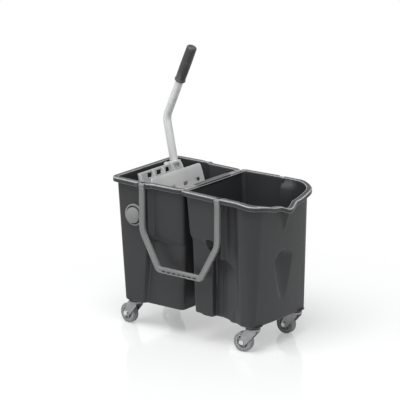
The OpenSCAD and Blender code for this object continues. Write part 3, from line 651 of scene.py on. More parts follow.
class Surface:
    """A mesh collected from grids of points.

    Each grid is a function of two parameters: its rows run along one, its columns along the other.
    """

    SHIFT = 500.0 * sum(corner.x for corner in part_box("press_axle")) - AXLE_X  # to the row frame
    FLAT, SHARP = 0.05, 0.25  # curvatures that count as no edge and as full edge, in 1/mm
    JOIN = 4  # decimals of a millimetre to which joined points agree
    CREASE = math.radians(40)  # turn between faces from which an edge is softened

    def __init__(self, name: str) -> None:
        """Starts an empty mesh.

        Args:
            name: name of the finished piece.
        """
        self.name = name
        self.points: list[Points] = []
        self.edges: list[Points] = []
        self.faces: list[list[int]] = []
        self.count = 0

    @staticmethod
    def quads(rows: int, columns: int, closed: bool, ring: bool = False) -> Points:
        """Faces of a grid.

        Args:
            rows: rows of points.
            columns: points in a row.
            closed: whether the last column joins the first.
            ring: whether the last row joins the first.

        Returns:
            Point numbers of each face.
        """
        i, j = np.meshgrid(
            np.arange(rows - (not ring)), np.arange(columns - (not closed)), indexing="ij"
        )
        k, n = (j + 1) % columns, (i + 1) % rows
        return np.stack(
            [i * columns + j, i * columns + k, n * columns + k, n * columns + j], axis=-1
        ).reshape(-1, 4)

    @staticmethod
    def bend(points: Points) -> Points:
        """Share of edge at each point of a grid of rings.

        The turn of the face normals across a row or a column, divided by the way between the
        faces' middles, is the curvature; it counts as edge whichever way the surface bends.

        Args:
            points: grid of closed rings.

        Returns:
            Values from 0 to 1 in the grid's shape.
        """
        right, up = np.roll(points, -1, axis=1), np.roll(points, -1, axis=0)
        corner = np.roll(right, -1, axis=0)
        normal = np.cross(corner - points, up - right)
        normal /= np.linalg.norm(normal, axis=-1, keepdims=True) + 1e-9
        middle = (points + right + up + corner) / 4
        found = np.zeros(points.shape[:2])
        for axis in (0, 1):
            turn = normal - np.roll(normal, 1, axis=axis)
            way = middle - np.roll(middle, 1, axis=axis)
            curve = np.abs((turn * way).sum(-1)) / ((way * way).sum(-1) + 1e-4)
            side = np.roll(curve, 1, axis=1 - axis)
            found = np.maximum(found, np.maximum(curve, side))
        found[[0, -1]] = 0
        return np.clip((found - Surface.FLAT) / (Surface.SHARP - Surface.FLAT), 0, 1)

    def grid(
        self, points: Points, ring: bool = False, fan: bool = False, rub_and_highlight: Union[float, Points] = 0.1
    ) -> "Surface":
        """Adds a closed surface made of rings, turned to face outwards.

        Points that coincide are joined, and faces that fold to nothing are left out.

        Args:
            points: rows of rings, in millimetres.
            ring: whether the last ring joins the first; otherwise the ends are capped.
            fan: whether the caps are fanned from their middles.
            rub_and_highlight: how much the edges of each ring are lightened, as wear and as painted
                highlight.

        Returns:
            This surface.
        """
        rows, columns = points.shape[:2]
        flat = points.reshape(-1, 3)
        # edge share: curvature times each ring's share, which the finishes turn into edge wear and
        # painted highlights
        share = (self.bend(points) * np.reshape(rub_and_highlight, (-1, 1))).reshape(-1)
        faces = self.quads(rows, columns, True, ring).tolist()
        last = (rows - 1) * columns
        if fan:
            j = np.arange(columns)
            k = (j + 1) % columns
            middles = np.stack([points[0].mean(axis=0), points[-1].mean(axis=0)])
            flat = np.concatenate([flat, middles])
            share = np.concatenate([share, [0.0, 0.0]])
            low, high = np.full(columns, rows * columns), np.full(columns, rows * columns + 1)
            faces += np.stack([low, k, j], axis=-1).tolist()
            faces += np.stack([high, last + j, last + k], axis=-1).tolist()
        elif not ring:
            faces += [list(range(columns))[::-1], list(range(last, last + columns))]
        if self.volume(flat, faces) < 0:
            faces = [face[::-1] for face in faces]
        _, first, same = np.unique(
            flat.round(self.JOIN), axis=0, return_index=True, return_inverse=True
        )
        joined = (list(dict.fromkeys(same.reshape(-1)[face].tolist())) for face in faces)
        return self.keep(flat[first], share[first], [face for face in joined if len(face) > 2])

    def keep(self, points: Points, edge: Points, faces: list[list[int]]) -> "Surface":
        """Adds points, the share of edge at each and the faces between them.

        Args:
            points: points in millimetres.
            edge: share of edge at each point.
            faces: point numbers of each face.

        Returns:
            This surface.
        """
        self.faces += [[n + self.count for n in face] for face in faces]
        self.points.append(points)
        self.edges.append(edge)
        self.count += len(points)
        return self

    @staticmethod
    def volume(points: Points, faces: list[list[int]]) -> float:
        """Six times the volume inside closed faces, from the corners' triple products.

        Args:
            points: points of the faces.
            faces: point numbers of each face; only those with four corners count.

        Returns:
            The sum, negative where the faces look inwards.
        """
        flat = points - points.mean(axis=0)
        quads = np.array([face for face in faces if len(face) == 4]).reshape(-1, 4)
        total = 0.0
        for trio in (quads[:, [0, 1, 2]], quads[:, [0, 2, 3]]):
            a, b, c = (flat[trio[:, k]] for k in range(3))
            total += float((a * np.cross(b, c)).sum())
        return total

    def pierced(self, middle: Points, out: Points, holes: Points) -> "Surface":
        """Adds a plate with windows.

        The grid of the plate's middle is moved out to both faces; cells that aren't holes are faced
        on both sides, and a wall closes each side between a cell and a hole or the plate's edge.

        Args:
            middle: grid of points in the middle of the plate.
            out: half of the thickness, as a vector.
            holes: which cells are open.

        Returns:
            This surface.
        """
        rows, columns = middle.shape[:2]
        flat = np.concatenate([(middle + out).reshape(-1, 3), (middle - out).reshape(-1, 3)])
        under = rows * columns
        i, j = np.nonzero(~holes)
        a = i * columns + j
        top = np.stack([a, a + columns, a + columns + 1, a + 1], axis=-1)
        faces = [top, top[:, ::-1] + under]
        solid = np.pad(~holes, 1).astype(int)
        for step, ahead, turn in (
            (np.diff(solid[:, 1:-1], axis=0), 1, 1),
            (np.diff(solid[1:-1], axis=1), columns, -1),
        ):
            for sign in (1, -1):
                i, j = np.nonzero(step == sign)
                a = i * columns + j
                wall = np.stack([a, a + ahead, a + ahead + under, a + under], axis=-1)
                faces.append(wall[:, :: sign * turn])
        used, packed = np.unique(np.concatenate(faces), return_inverse=True)
        packed = packed.reshape(-1, 4)
        if self.volume(flat[used], packed.tolist()) < 0:
            packed = packed[:, ::-1]
        return self.keep(flat[used], np.zeros(len(used)), packed.tolist())

    def piece(self, slot: Slot, body: str, *nodes: str, soft: float = 0.0) -> bpy.types.Object:
        """Makes the object, dresses it and ties it to its body.

        Args:
            slot: material slot.
            body: body that carries it.
            nodes: CAD nodes that it stands for.
            soft: rounding of sharp edges that are left, in millimetres.

        Returns:
            The finished object.
        """
        points = (np.concatenate(self.points) + [self.SHIFT, 0.0, 0.0]) * MM
        mesh = bpy.data.meshes.new(self.name)
        mesh.from_pydata(points.tolist(), [], self.faces)
        # the edge attribute drives edge wear and the painted highlights in the finishes
        mesh.attributes.new("edge", "FLOAT", "POINT").data.foreach_set(
            "value", np.concatenate(self.edges).astype(np.float32)
        )
        mesh.polygons.foreach_set("use_smooth", np.ones(len(mesh.polygons), dtype=bool))
        mesh.materials.append(FINISHES[slot].build())
        mesh.validate()
        made = bpy.data.objects.new(self.name, mesh)
        bpy.context.scene.collection.objects.link(made)
        if soft:
            bevel = made.modifiers.new("soft_edges", "BEVEL")
            bevel.width, bevel.segments = MM * soft, 2
            bevel.limit_method, bevel.angle_limit = "ANGLE", self.CREASE
        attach(made, body)
        if nodes:
            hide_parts(*nodes)
        LOG.info("%s: %d faces", self.name, len(mesh.polygons))
        return made


def smooth(share: Points) -> Points:
    """Smooth step from 0 to 1."""
    t = np.clip(share, 0.0, 1.0)
    return t * t * (3 - 2 * t)


def unit(vectors: Points) -> Points:
    """Vectors of length 1."""
    return vectors / (np.linalg.norm(vectors, axis=-1, keepdims=True) + 1e-12)


def left_of(vectors: Points) -> Points:
    """Plane vectors turned a quarter to the left."""
    return np.stack([-vectors[..., 1], vectors[..., 0]], axis=-1)


def outlines(spots: Points, radii: Points, steps: Sequence[int], inset: Points) -> Points:
    """Closed outlines with rounded corners, one for each level.

    Each corner is moved along the mitre by the inset, then replaced by an arc that is tangent to
    both of its sides; the arc's radius shrinks by the inset on outer corners and grows on inner
    ones.

    Args:
        spots: corners of each level, counter-clockwise, levels x corners x 2.
        radii: corner radii, levels x corners.
        steps: arc steps of each corner; 0 keeps a sharp point.
        inset: inset of each level.

    Returns:
        Levels x stations x 2.
    """
    before = unit(spots - np.roll(spots, 1, axis=1))
    after = np.roll(before, -1, axis=1)
    n, m = left_of(before), left_of(after)
    moved = spots + inset[:, None, None] * (n + m) / (1 + (n * m).sum(-1, keepdims=True))
    cross = before[..., 0] * after[..., 1] - before[..., 1] * after[..., 0]
    turn = np.arctan2(cross, (before * after).sum(-1))
    radii = np.maximum(radii - np.where(turn < 0, -1, 1) * inset[:, None], 0.6)
    start = moved - before * (radii * np.tan(np.abs(turn) / 2))[..., None]
    centre = start + (np.sign(turn) * radii)[..., None] * n
    arm = start - centre
    found = []
    for i, count in enumerate(steps):
        if count == 0:
            found.append(moved[:, i : i + 1])
            continue
        angle = turn[:, i, None] * np.linspace(0, 1, count + 1)
        c, s = np.cos(angle), np.sin(angle)
        x, y = arm[:, i, 0, None], arm[:, i, 1, None]
        found.append(centre[:, i, None] + np.stack([x * c - y * s, x * s + y * c], axis=-1))
    return np.concatenate(found, axis=1)


def spread(rings: Points, spacing: Points) -> Points:
    """Adds stations on the long straight sides of rings, closer near the corners.

    A side longer than the spacing is cut at (1 - cos(pi k / n)) / 2 of its length.

    Args:
        rings: levels x stations x 2 or 3.
        spacing: longest side that stays whole, at each station.

    Returns:
        The finer rings.
    """
    ahead = np.roll(rings, -1, axis=1)
    length = np.linalg.norm(ahead - rings, axis=-1).max(axis=0)
    cuts = np.maximum(1, np.ceil(length / spacing)).astype(int)
    cuts = np.where((cuts > 1) & (cuts < 4), 4, cuts)
    index = np.repeat(np.arange(len(cuts)), cuts)
    k = np.concatenate([np.arange(c) for c in cuts])
    t = (1 - np.cos(np.pi * k / cuts[index])) / 2
    t = np.where(cuts[index] == 1, 0.0, t)[:, None]
    return rings[:, index] * (1 - t) + ahead[:, index] * t


def arc(centre: Pair, radius: float, start: float, end: float, steps: int) -> Points:
    """Points on an arc, with angles in degrees."""
    a = np.radians(np.linspace(start, end, steps + 1))
    return np.stack([centre[0] + radius * np.cos(a), centre[1] + radius * np.sin(a)], axis=-1)


def rounded(
    corners: Corners, steps: Union[int, Sequence[int]], inset: Sequence[float] = (0.0,)
) -> Points:
    """Closed outlines of one polygon with rounded corners, one for each inset.

    Args:
        corners: the polygon.
        steps: arc steps of every corner, or of each.
        inset: inset of each outline.

    Returns:
        Outlines x stations x 2.
    """
    table, inset = np.array(corners, dtype=float), np.asarray(inset)
    spots = np.broadcast_to(table[:, :2], (len(inset), len(table), 2))
    radii = np.broadcast_to(table[:, 2], (len(inset), len(table)))
    counts = [steps] * len(table) if isinstance(steps, int) else steps
    return outlines(spots, radii, counts, inset)


def raised(rings: Points, z: Points) -> Points:
    """Flat rings, each at its own height."""
    high = np.broadcast_to(z[:, None, None], (*rings.shape[:2], 1))
    return np.concatenate([rings, high], axis=-1)


def prism(corners: Corners, low: float, high: float, soft: float, steps: int = 4) -> Points:
    """Upright prism with rounded corners and rounded ends.

    The outline is inset by soft (1 - sin a) at soft (1 - cos a) from each end, a = 0..90 degrees.

    Args:
        corners: the outline.
        low: height of one end.
        high: height of the other end.
        soft: radius of the end edges.
        steps: arc steps of corners and edges.

    Returns:
        Rows of rings.
    """
    a = np.linspace(0, np.pi / 2, steps + 1)
    inset = soft * (1 - np.sin(a))
    rise = soft * (1 - np.cos(a))
    inset = np.concatenate([inset, inset[::-1]])
    z = np.concatenate([low + rise, high - rise[::-1]])
    return raised(rounded(corners, steps, inset), z)


def revolve(profile: Points, steps: int = 64) -> Points:
    """Profile of radius and height carried round the z axis: x = r cos t, y = r sin t, z = h.

    Args:
        profile: rows of radius and height.
        steps: points in a ring.

    Returns:
        Rows of rings.
    """
    t = np.linspace(0, 2 * np.pi, steps, endpoint=False)
    r, h = profile[:, 0, None], profile[:, 1, None]
    return np.stack([r * np.cos(t), r * np.sin(t), h + 0 * t], axis=-1)


def turned(points: Points, angle: float) -> Points:
    """Points turned about the z axis: x cos a - y sin a, x sin a + y cos a.

    Args:
        points: points to turn.
        angle: angle a in radians.

    Returns:
        The turned points.
    """
    c, s = math.cos(angle), math.sin(angle)
    x, y = points[..., 0], points[..., 1]
    return np.stack([x * c - y * s, x * s + y * c, points[..., 2]], axis=-1)


def lying(points: Points, side: Side = Side.FRONT) -> Points:
    """Turns the z axis to the front or the back."""
    sign = side.value
    return np.stack([points[..., 0], -sign * points[..., 2], sign * points[..., 1]], axis=-1)


@dataclass(frozen=True)
class Moulding:
    """Sizes and section that both buckets share.

    Attributes:
        rim_z: height of the rim.
        base_z: height of the bottom.
        wall: wall thickness.
        floor: floor thickness.
        half_d: half depth over the handle pads, at the rim.
        half_gap: half of the gap between the buckets.
        side_draft: lean of the long walls from rim to base.
        end_draft: lean of the end walls.
        edge: rounding of the bottom edge.
        rim_out: how far the rim stands out.
        rim_h: height of the rim skirt.
        rim_t: rim thickness.
        rim_soft: rounding of the outer rim edge.
        rim_from: inset below which a ring belongs to the rim.
        root: rounding between the wall and the rim.
        lip: rounding of the inner rim edge.
        meet: clearance from the rim to the middle of the gap.
        hinge: handle hinge from the middle of the handle.
        notch: half width of the handle notches.
        notch_face: half depth of the notches' back faces.
        slit: half width of the step at each side of a notch.
        wall_z: height of the wall's ring whose stations the notches follow.
        lug_z: height of the undersides of the hinge blocks.
        post_z: height of the undersides of the posts.
    """

    rim_z: float = 465.0
    base_z: float = 82.0
    wall: float = 3.0
    floor: float = 4.0
    half_d: float = 149.0
    half_gap: float = 5.0
    side_draft: float = 15.0
    end_draft: float = 12.0
    edge: float = 4.0
    rim_out: float = 14.0
    rim_h: float = 14.0
    rim_t: float = 2.5
    rim_soft: float = 3.0
    rim_from: float = -0.2
    root: float = 2.0
    lip: float = 1.4
    meet: float = 0.5
    hinge: float = 140.0
    notch: float = 10.0
    notch_face: float = 150.1
    slit: float = 0.05
    wall_z: float = 452.0
    lug_z: float = 449.5
    post_z: float = 74.0

    def share(self, z: Points) -> Points:
        """Share of the height from base to rim."""
        return (z - self.base_z) / (self.rim_z - self.base_z)

    def side_in(self, z: Points) -> Points:
        """Lean of the long walls at a height."""
        return self.side_draft * (1 - self.share(z))

    def end_in(self, z: Points) -> Points:
        """Lean of the end walls at a height."""
        return self.end_draft * (1 - self.share(z))

    def roll(self, z: Points, start: float, height: float) -> Points:
        """Share of the lower plan: it grows as the square of the way down to the crease."""
        return np.clip((start - z) / height, 0, 1) ** 2

    def rub_and_highlight(self, inset: Points, z: Points) -> Points:
        """How much each ring's edges are lightened: the rim most, where it is a painted highlight
        along the rounded edges.
        """
        return np.where((inset < 0) | (z > self.rim_z - 3), 1.0, 0.06)

    def wall_ring(self, z: Points) -> int:
        """Number of the wall's ring whose stations the notches follow."""
        return int(np.argmin(np.abs(z - self.wall_z)))

    def gap_side(self, inset: Points) -> Points:
        """Nearest that a ring may come to the middle of the gap."""
        return np.where(inset < 0, self.meet + inset + self.rim_out, -1000.0)

    def section(self, outer: Points, inner: Points) -> Points:
        """Inset and height along the wall's section, from the bottom over the rim to the floor.

        Arcs round the bottom edge, the root and edges of the rim, the lip and the floor corner.

        Args:
            outer: heights of the outer wall, going up.
            inner: heights of the inner wall, going down.

        Returns:
            Levels x 2.
        """
        under, skirt = self.rim_z - self.rim_t, self.rim_out - self.rim_t
        low = self.rim_z - self.rim_h
        half, soft, lip = self.rim_t / 2, self.rim_soft, self.wall - self.lip
        floor = self.base_z + self.floor
        return np.concatenate(
            [
                arc((self.edge, self.base_z + self.edge), -self.edge, 90, 0, 5),
                np.stack([0 * outer, outer], axis=-1),
                arc((-self.root, under - self.root), self.root, 0, 90, 4),
                arc((1 - skirt, under - 1), 1.0, 90, 180, 3),
                arc((-skirt - half, low + half), half, 0, -180, 6),
                [[-self.rim_out, self.rim_z - soft - 1]],
                arc((soft - self.rim_out, self.rim_z - soft), soft, 180, 90, 6),
                [[soft - self.rim_out + 1, self.rim_z], [lip - 1, self.rim_z]],
                arc((lip, self.rim_z - self.lip), self.lip, 90, 0, 4),
                np.stack([0 * inner + self.wall, inner], axis=-1),
                arc((self.wall + self.edge, floor + self.edge), self.edge, 180, 270, 5),
            ]
        )

    def cut_notches(self, points: Points, inset: Points, nominal: Points) -> Points:
        """Sets the rim back where the handle's legs pass.

        Args:
            points: rows of rings.
            inset: inset of each level.
            nominal: x of each station on the wall under the rim.

        Returns:
            The rings with notches.
        """
        passed = np.abs(np.abs(nominal) - self.hinge) < self.notch
        cut = (inset < self.rim_from)[:, None] & passed
        x, y, z = points[..., 0], points[..., 1], points[..., 2]
        back = np.sign(y) * np.minimum(np.abs(y), self.notch_face)
        moved = np.stack([nominal + 0 * x, back, np.maximum(z, self.rim_z - self.rim_t)], axis=-1)
        return np.where(cut[..., None], moved, points)

    def lug(self, x0: float, x1: float, reach0: float, reach1: float) -> Points:
        """Block under the rim that carries one end of a hinge pin.

        Args:
            x0: left side.
            x1: right side.
            reach0: depth of its foot at the left side.
            reach1: depth of its foot at the right side.

        Returns:
            Rows of rings, at the front.
        """
        out = self.half_d + self.rim_out - 0.6
        spots = ((x0, -out), (x1, -out), (x1, -reach1), (x0, -reach0))
        return prism([(*spot, 0.8) for spot in spots], self.lug_z, self.rim_z - 1.2, 1.0, 3)

    def post(self, corner: Corner) -> Points:
        """Round post over a caster: a soft foot and a root flared along an arc.

        Args:
            corner: which caster.

        Returns:
            Rows of rings.
        """
        _, x, y, _ = corner.value
        foot = arc((20.4, self.post_z + 1.5), 1.5, -90, 0, 4)
        root = arc((29.0, self.post_z + 2), -7.0, -6, -90, 8)
        middle = 0.5
        ends = [[middle, self.post_z]], [[middle, self.base_z + 1.5]]
        return revolve(np.concatenate([ends[0], foot, root, ends[1]]), 48) + [x, y, 0.0]


@dataclass(frozen=True)
class WashBucket(Moulding):
    """Wash bucket with recessed panels, the hook over the divider and the press seats.

    Attributes:
        end: far end of the bucket.
        far_draft: lean of the far end wall.
        far_in: how far the far corners lie behind the handle pads.
        shoulder: height of the recesses' shoulder.
        roll_h: height over which the panels roll in to the shoulder.
        low_y: half depth across the recessed panels.
        pad: inner side of the handle pads.
        panel_in: how far the upper panels lie behind the handle pads.
        corner_in: how far the corners beside the gap lie behind the pads.
        jamb: width of the slope from a pad to its panel, over and under the shoulder.
        flare: shift of the slope under the shoulder, at its top and more at the base.
        hook_half: half length of the hook.
        seat_y: half depth of the seats of the round covers.
        boss_y: half depth of the outer ends of the axle's bosses.
    """

    end: float = 250.0
    far_draft: float = 18.0
    far_in: float = 4.0
    shoulder: float = 301.5
    roll_h: float = 22.0
    low_y: float = 122.0
    pad: float = 129.0
    panel_in: float = 10.0
    corner_in: float = 14.0
    jamb: Pair = (14.0, 8.0)
    flare: Pair = (5.0, 24.0)
    hook_half: float = 78.0
    seat_y: float = 143.15
    boss_y: float = 142.4

    def plan(self, z: Points, low: Points) -> tuple[Points, Points, list[int]]:
        """Corners at each level, blended between the plans over and under the shoulder.

        Args:
            z: heights.
            low: share of the lower plan.

        Returns:
            Corners, radii and arc steps.
        """
        side, end = self.side_in(z), self.end_in(z)
        down = np.clip((self.shoulder - z) / (self.shoulder - self.base_z), 0, 1)
        jamb = self.pad + low * (self.flare[0] + self.flare[1] * down)
        width = self.jamb[0] - (self.jamb[0] - self.jamb[1]) * low
        panel, corner = self.half_d - self.panel_in - side, self.half_d - self.corner_in - side
        panel = panel + low * (np.minimum(panel, self.low_y) - panel)
        corner = corner + low * (np.minimum(corner, self.low_y) - corner)
        far = self.far_draft * (1 - self.share(z))
        first = np.stack([far - self.end, side + self.far_in - self.half_d], axis=-1)
        second = np.stack([-jamb, side - self.half_d], axis=-1)
        edges = self.hinge + self.slit * np.array([1, -1, 1, -1])
        edges = edges + self.notch * np.array([1, 1, -1, -1])
        shares = (self.end - edges) / (self.end - self.pad)
        between = [first + t * (second - first) for t in shares]
        front = [first, *between, second]
        front.append(np.stack([width - jamb, -panel], axis=-1))
        front.append(np.stack([-self.half_gap - end, -corner], axis=-1))
        spots = np.stack(front, axis=1)
        soft, flat = 7 - 3 * low, 0 * z
        radii = np.stack([flat + 12, *(flat + 1 for _ in shares), soft, soft, flat + 16], axis=-1)
        steps = [8, 0, 0, 0, 0, 5, 5, 12]
        back = spots[:, ::-1] * [1, -1]
        return (
            np.concatenate([spots, back], axis=1),
            np.concatenate([radii, radii[:, ::-1]], axis=1),
            steps + steps[::-1],
        )

    def shell(self) -> tuple[Points, Points]:
        """The moulded skin: rings of the plan at the section's insets and heights.

        Returns:
            Rows of rings, and the edge lightening of each ring, which on the rim is a painted
            highlight.
        """
        rolled = np.linspace(-19.5, 2, 16)
        rise = self.shoulder + np.concatenate([[-40, -24, -20.6, -20.1], rolled, [5, 20]])
        outer = np.concatenate([[88, 95, 120, 150, 200, 240], rise, [345, 390, 430, 452, 458]])
        inner = np.concatenate([[458, 430, 390, 345], rise[::-1], [240, 200, 150, 100, 93]])
        inset, z = self.section(outer, inner).T
        rings = outlines(*self.plan(z, self.roll(z, self.shoulder + 2, self.roll_h)), inset)
        rings[..., 0] = np.minimum(rings[..., 0], -self.gap_side(inset)[:, None])
        rings = spread(rings, np.full(rings.shape[1], 14.0))
        nominal = rings[self.wall_ring(z), :, 0]
        return self.cut_notches(raised(rings, z), inset, nominal), self.rub_and_highlight(inset, z)

    def hook(self) -> Points:
        """Hook over the divider: a bent strip section carried along the depth.

        Returns:
            Rows of rings.
        """
        lip = self.half_gap + self.wall + 0.68
        section = [
            (-6.8, 463.5, 0.2), (-2.0, 463.5, 0.2), (-2.0, 465.3, 0.2), (lip, 465.3, 0.3),
            (lip, 453.0, 0.5), (lip + 2.5, 453.0, 1.0), (lip + 2.5, 467.8, 1.9), (-6.8, 467.8, 1.9),
        ]
        return lying(prism(section, -self.hook_half, self.hook_half, 0.9))

    def rest(self) -> Points:
        """Shelf at the back that carries one side of the sieve."""
        corners = [(-112, 117.8, 2), (-52, 117.8, 2), (-52, 130.0, 1), (-112, 130.0, 1)]
        return prism(corners, 298.0, 305.6, 1.0)

    def build(self) -> bpy.types.Object:
        """Makes the bucket.

        Returns:
            The finished piece.
        """
        skin, rub_and_highlight = self.shell()
        # edge shares: the rim's and the hook's edges get a painted highlight
        made = Surface("wash_bucket").grid(skin, rub_and_highlight=rub_and_highlight).grid(self.hook(), rub_and_highlight=0.6)
        seat = [[0.5, -6.0], [35.0, -6.0], [35.0, 1.2]]
        seat = np.concatenate([seat, arc((33.8, 1.4), 1.2, 0, 90, 4), [[0.5, 2.6]]])
        boss = [[7.2, 0.0], [15.0, 0.0]]
        boss = np.concatenate([boss, arc((14.0, 29.0), 1.0, 0, 90, 4), [[7.2, 30.0]]])
        for side, inwards in zip(Side, reversed(Side)):
            sign = side.value
            made.grid(lying(revolve(seat), side) + [AXLE_X, -sign * self.seat_y, AXLE_Z])
            made.grid(lying(revolve(boss), inwards) + [AXLE_X, -sign * self.boss_y, AXLE_Z])
            for block in (
                self.lug(-158.0, -150.0, 147.0, 147.0),
                self.lug(-130.0, -122.0, 147.4, 142.0),
                self.post(Corner.FRONT_LEFT),
                self.rest() * [1.0, -1.0, 1.0],
            ):
                made.grid(block * [1.0, sign, 1.0])
        return made.piece(Slot.BUCKET, Body.BUCKETS.value, "bucket_wash")


@dataclass(frozen=True)
class RinseBucket(Moulding):
    """Rinse bucket with a pouring spout, arched niches, a tilted shoulder and a hand scoop.

    Attributes:
        end: far end of the bucket.
        shoulder: height of the panels' shoulder at the niche.
        tilt: rise of the shoulder towards the gap.
        gap_draft: lean of the wall beside the gap.
        lean: heights, and the share of the tilt at each.
        roll_h: height over which the panels roll in to the shoulder.
        low_y: half depth across the panels.
        slant: how far the upper panels lie behind the handle pads beside the gap.
        panel_x: far side of the panels.
        pad_x: near side of the handle pads.
        bay: depth of the bay beside each handle leg.
        bay_rim: depth that is left of it under the rim.
        bay_run: height over which the bay runs out.
        bay_x: where the bay starts to come out again.
        ramp_x: far side of the bay.
        tuck: how far the leg's side of the bay is cut under, and the heights of its start and end.
        end_bow: how far the end wall bulges.
        niche_y: half depth across the backs of the niches.
        niche_ramp: how far the backs come out towards the bucket's end, in ramp_run from ramp_from.
        ramp_from: where the backs start to come out.
        ramp_run: length along which niche_ramp is reached.
        niche_head: how much deeper the tops of the niches are.
        head_z: height where the tops start.
        head_run: height over which they grow deep.
        niche_soft: half width of the band in which the wall turns into a niche.
        steps: x, length and height of each step in the underside.
        steps_z: heights where the steps start to fade and are gone.
        fine: part of the length where stations lie close, for the niches.
        spacing: longest side between stations there, and elsewhere.
        drop: fall of the rim towards the end.
        sag: how much lower the rim lies in the middle of the end.
        sag_half: half width of the sag.
        sag_ease: way over which the rim sinks.
        spout_out: how far the spout stands out.
        spout_half: half width of the spout.
        spout_dip: extra fall of the rim at the spout.
        prow_out: how far the gusset under the spout stands out.
        prow_half: half width of the gusset at the rim.
        gusset: height where the spout grows out of the wall.
        scoop_z: height of the scoop's deepest place.
        scoop_in: depth of the scoop.
        scoop_half: half width of the scoop.
        scoop_up: height of the scoop over its deepest place.
        scoop_down: height of the scoop under it.
        scoop_skew: power that draws the deepest place to the front.
        scoop_ease: rounding of the scoop's rim.
    """

    end: float = 270.0
    shoulder: float = 287.5
    tilt: float = 26.0
    gap_draft: float = 25.0
    lean: tuple[tuple[float, ...], ...] = ((86, 143, 272, 298, 351), (0, 0.2, 1, 1, 0))
    roll_h: float = 40.0
    low_y: float = 128.0
    slant: float = 7.0
    panel_x: float = 118.0
    pad_x: float = 129.0
    bay: float = 14.0
    bay_rim: float = 0.4
    bay_run: float = 28.0
    bay_x: float = 184.0
    ramp_x: float = 206.0
    tuck: Triple = (7.0, 446.0, 416.0)
    end_bow: float = 8.0
    niche_y: float = 109.0
    niche_ramp: float = 17.0
    ramp_from: float = 123.0
    ramp_run: float = 70.0
    niche_head: float = 24.0
    head_z: float = 276.0
    head_run: float = 14.0
    niche_soft: float = 1.2
    steps: tuple[Triple, ...] = ((64.0, 2.0, 4.0), (157.0, 2.5, 5.0))
    steps_z: Pair = (90.0, 130.0)
    fine: Pair = (70.0, 215.0)
    spacing: Pair = (2.2, 18.0)
    drop: float = 10.0
    sag: float = 16.0
    sag_half: float = 136.0
    sag_ease: float = 92.0
    spout_out: float = 8.0
    spout_half: float = 46.0
    spout_dip: float = 13.0
    prow_out: float = 22.0
    prow_half: float = 27.0
    gusset: float = 351.0
    scoop_z: float = 272.0
    scoop_in: float = 20.0
    scoop_half: float = 45.0
    scoop_up: float = 26.0
    scoop_down: float = 129.0
    scoop_skew: float = 0.65
    scoop_ease: float = 1.2

    def crown(self) -> Points:
        """Outline of the niche.

        Returns:
            Rows of x and z.
        """
        corners = [
            (100, 60, 1), (204, 60, 1), (195, 200, 40), (183, 246, 18), (152, 271, 26),
            (122, 286, 6), (112, 326, 6), (86, 326, 4), (85, 300, 4), (101, 269, 5),
        ]
        return rounded(corners, [0, 0, 6, 8, 8, 5, 5, 5, 5, 5])[0]

    def depth_in(self, x: Points, z: Points) -> Points:
        """Distance inside the niche's outline, negative outside.

        The nearest of the outline's sides gives the distance; the count of sides crossed by a
        ray gives the sign.

        Args:
            x: x of the points.
            z: z of the points.

        Returns:
            Distances in the points' shape.
        """
        outline = self.crown()
        nearest = np.full(x.shape, 1e9)
        inside = np.zeros(x.shape, dtype=bool)
        for (ax, az), (bx, bz) in zip(outline, np.roll(outline, -1, axis=0)):
            dx, dz = bx - ax, bz - az
            t = np.clip(((x - ax) * dx + (z - az) * dz) / (dx * dx + dz * dz), 0, 1)
            nearest = np.minimum(nearest, np.hypot(x - ax - t * dx, z - az - t * dz))
            with np.errstate(divide="ignore", invalid="ignore"):
                inside ^= ((az > z) != (bz > z)) & (x < ax + dx * (z - az) / dz)
        return np.where(inside, nearest, -nearest)

    def plan(self, z: Points, low: Points, hollow: Points) -> tuple[Points, Points, list[int]]:
        """Corners at each level, blended between the plans over and under the shoulder.

        Args:
            z: heights.
            low: share of the lower plan.
            hollow: depth of the bay beside the handle's leg.

        Returns:
            Corners, radii and arc steps.
        """
        side, end = self.side_in(z), self.end_in(z)
        pad, near = self.half_d - side, self.half_d - self.slant - side
        over, long = self.pad_x - self.panel_x, self.pad_x - self.half_gap
        line, bay = pad - self.slant * over / long, pad - hollow
        near = near + low * (np.minimum(near, self.low_y) - near)
        line = line + low * (np.minimum(line, self.low_y) - line)
        flat = np.zeros_like(z)
        lean = self.gap_draft * np.maximum(1 - self.share(z), 0) ** 0.75
        gap = np.stack([self.half_gap + lean, -near], axis=-1)
        panel = np.stack([flat + self.panel_x, -line], axis=-1)
        bay_in = np.stack([flat + self.bay_x, -bay], axis=-1)
        ramp = np.stack([flat + self.ramp_x, -pad], axis=-1)
        jambs = [gap + t * (panel - gap) for t in (0.4, 0.42, 0.6, 0.8, 0.82)]
        lips = [bay_in + t * (ramp - bay_in) for t in (0.6, 0.67)]
        cut, start, finish = self.tuck
        tuck = cut * smooth((start - z) / (start - finish))
        near_side, far_side = self.hinge - self.notch, self.hinge + self.notch
        stops = (self.pad_x, near_side - self.slit, near_side + self.slit, far_side - 1 - tuck)
        notches = [np.stack([flat + x, -pad], axis=-1) for x in stops]
        leg = np.stack([far_side - tuck, -pad], axis=-1)
        leg_in = np.stack([far_side + 5 - 0.3 * tuck, -bay], axis=-1)
        corner = np.stack([self.end - self.end_bow - end, -pad], axis=-1)
        rows = np.concatenate([[84, 76, 68, 60, 54], np.arange(50.0, 1.0, -1.5)])
        bulge = [self.end - end - self.end_bow * (y / pad) ** 2 for y in rows]
        far = [np.stack([x, flat - y], axis=-1) for x, y in zip(bulge, rows)]
        front = [gap, *jambs, panel, *notches, leg, leg_in, bay_in, *lips, ramp, corner, *far]
        plain = [0] * (len(jambs) + 1 + len(notches))
        steps = [8, *plain, 4, 5, 9, 0, 0, 8, 20] + [0] * len(rows)
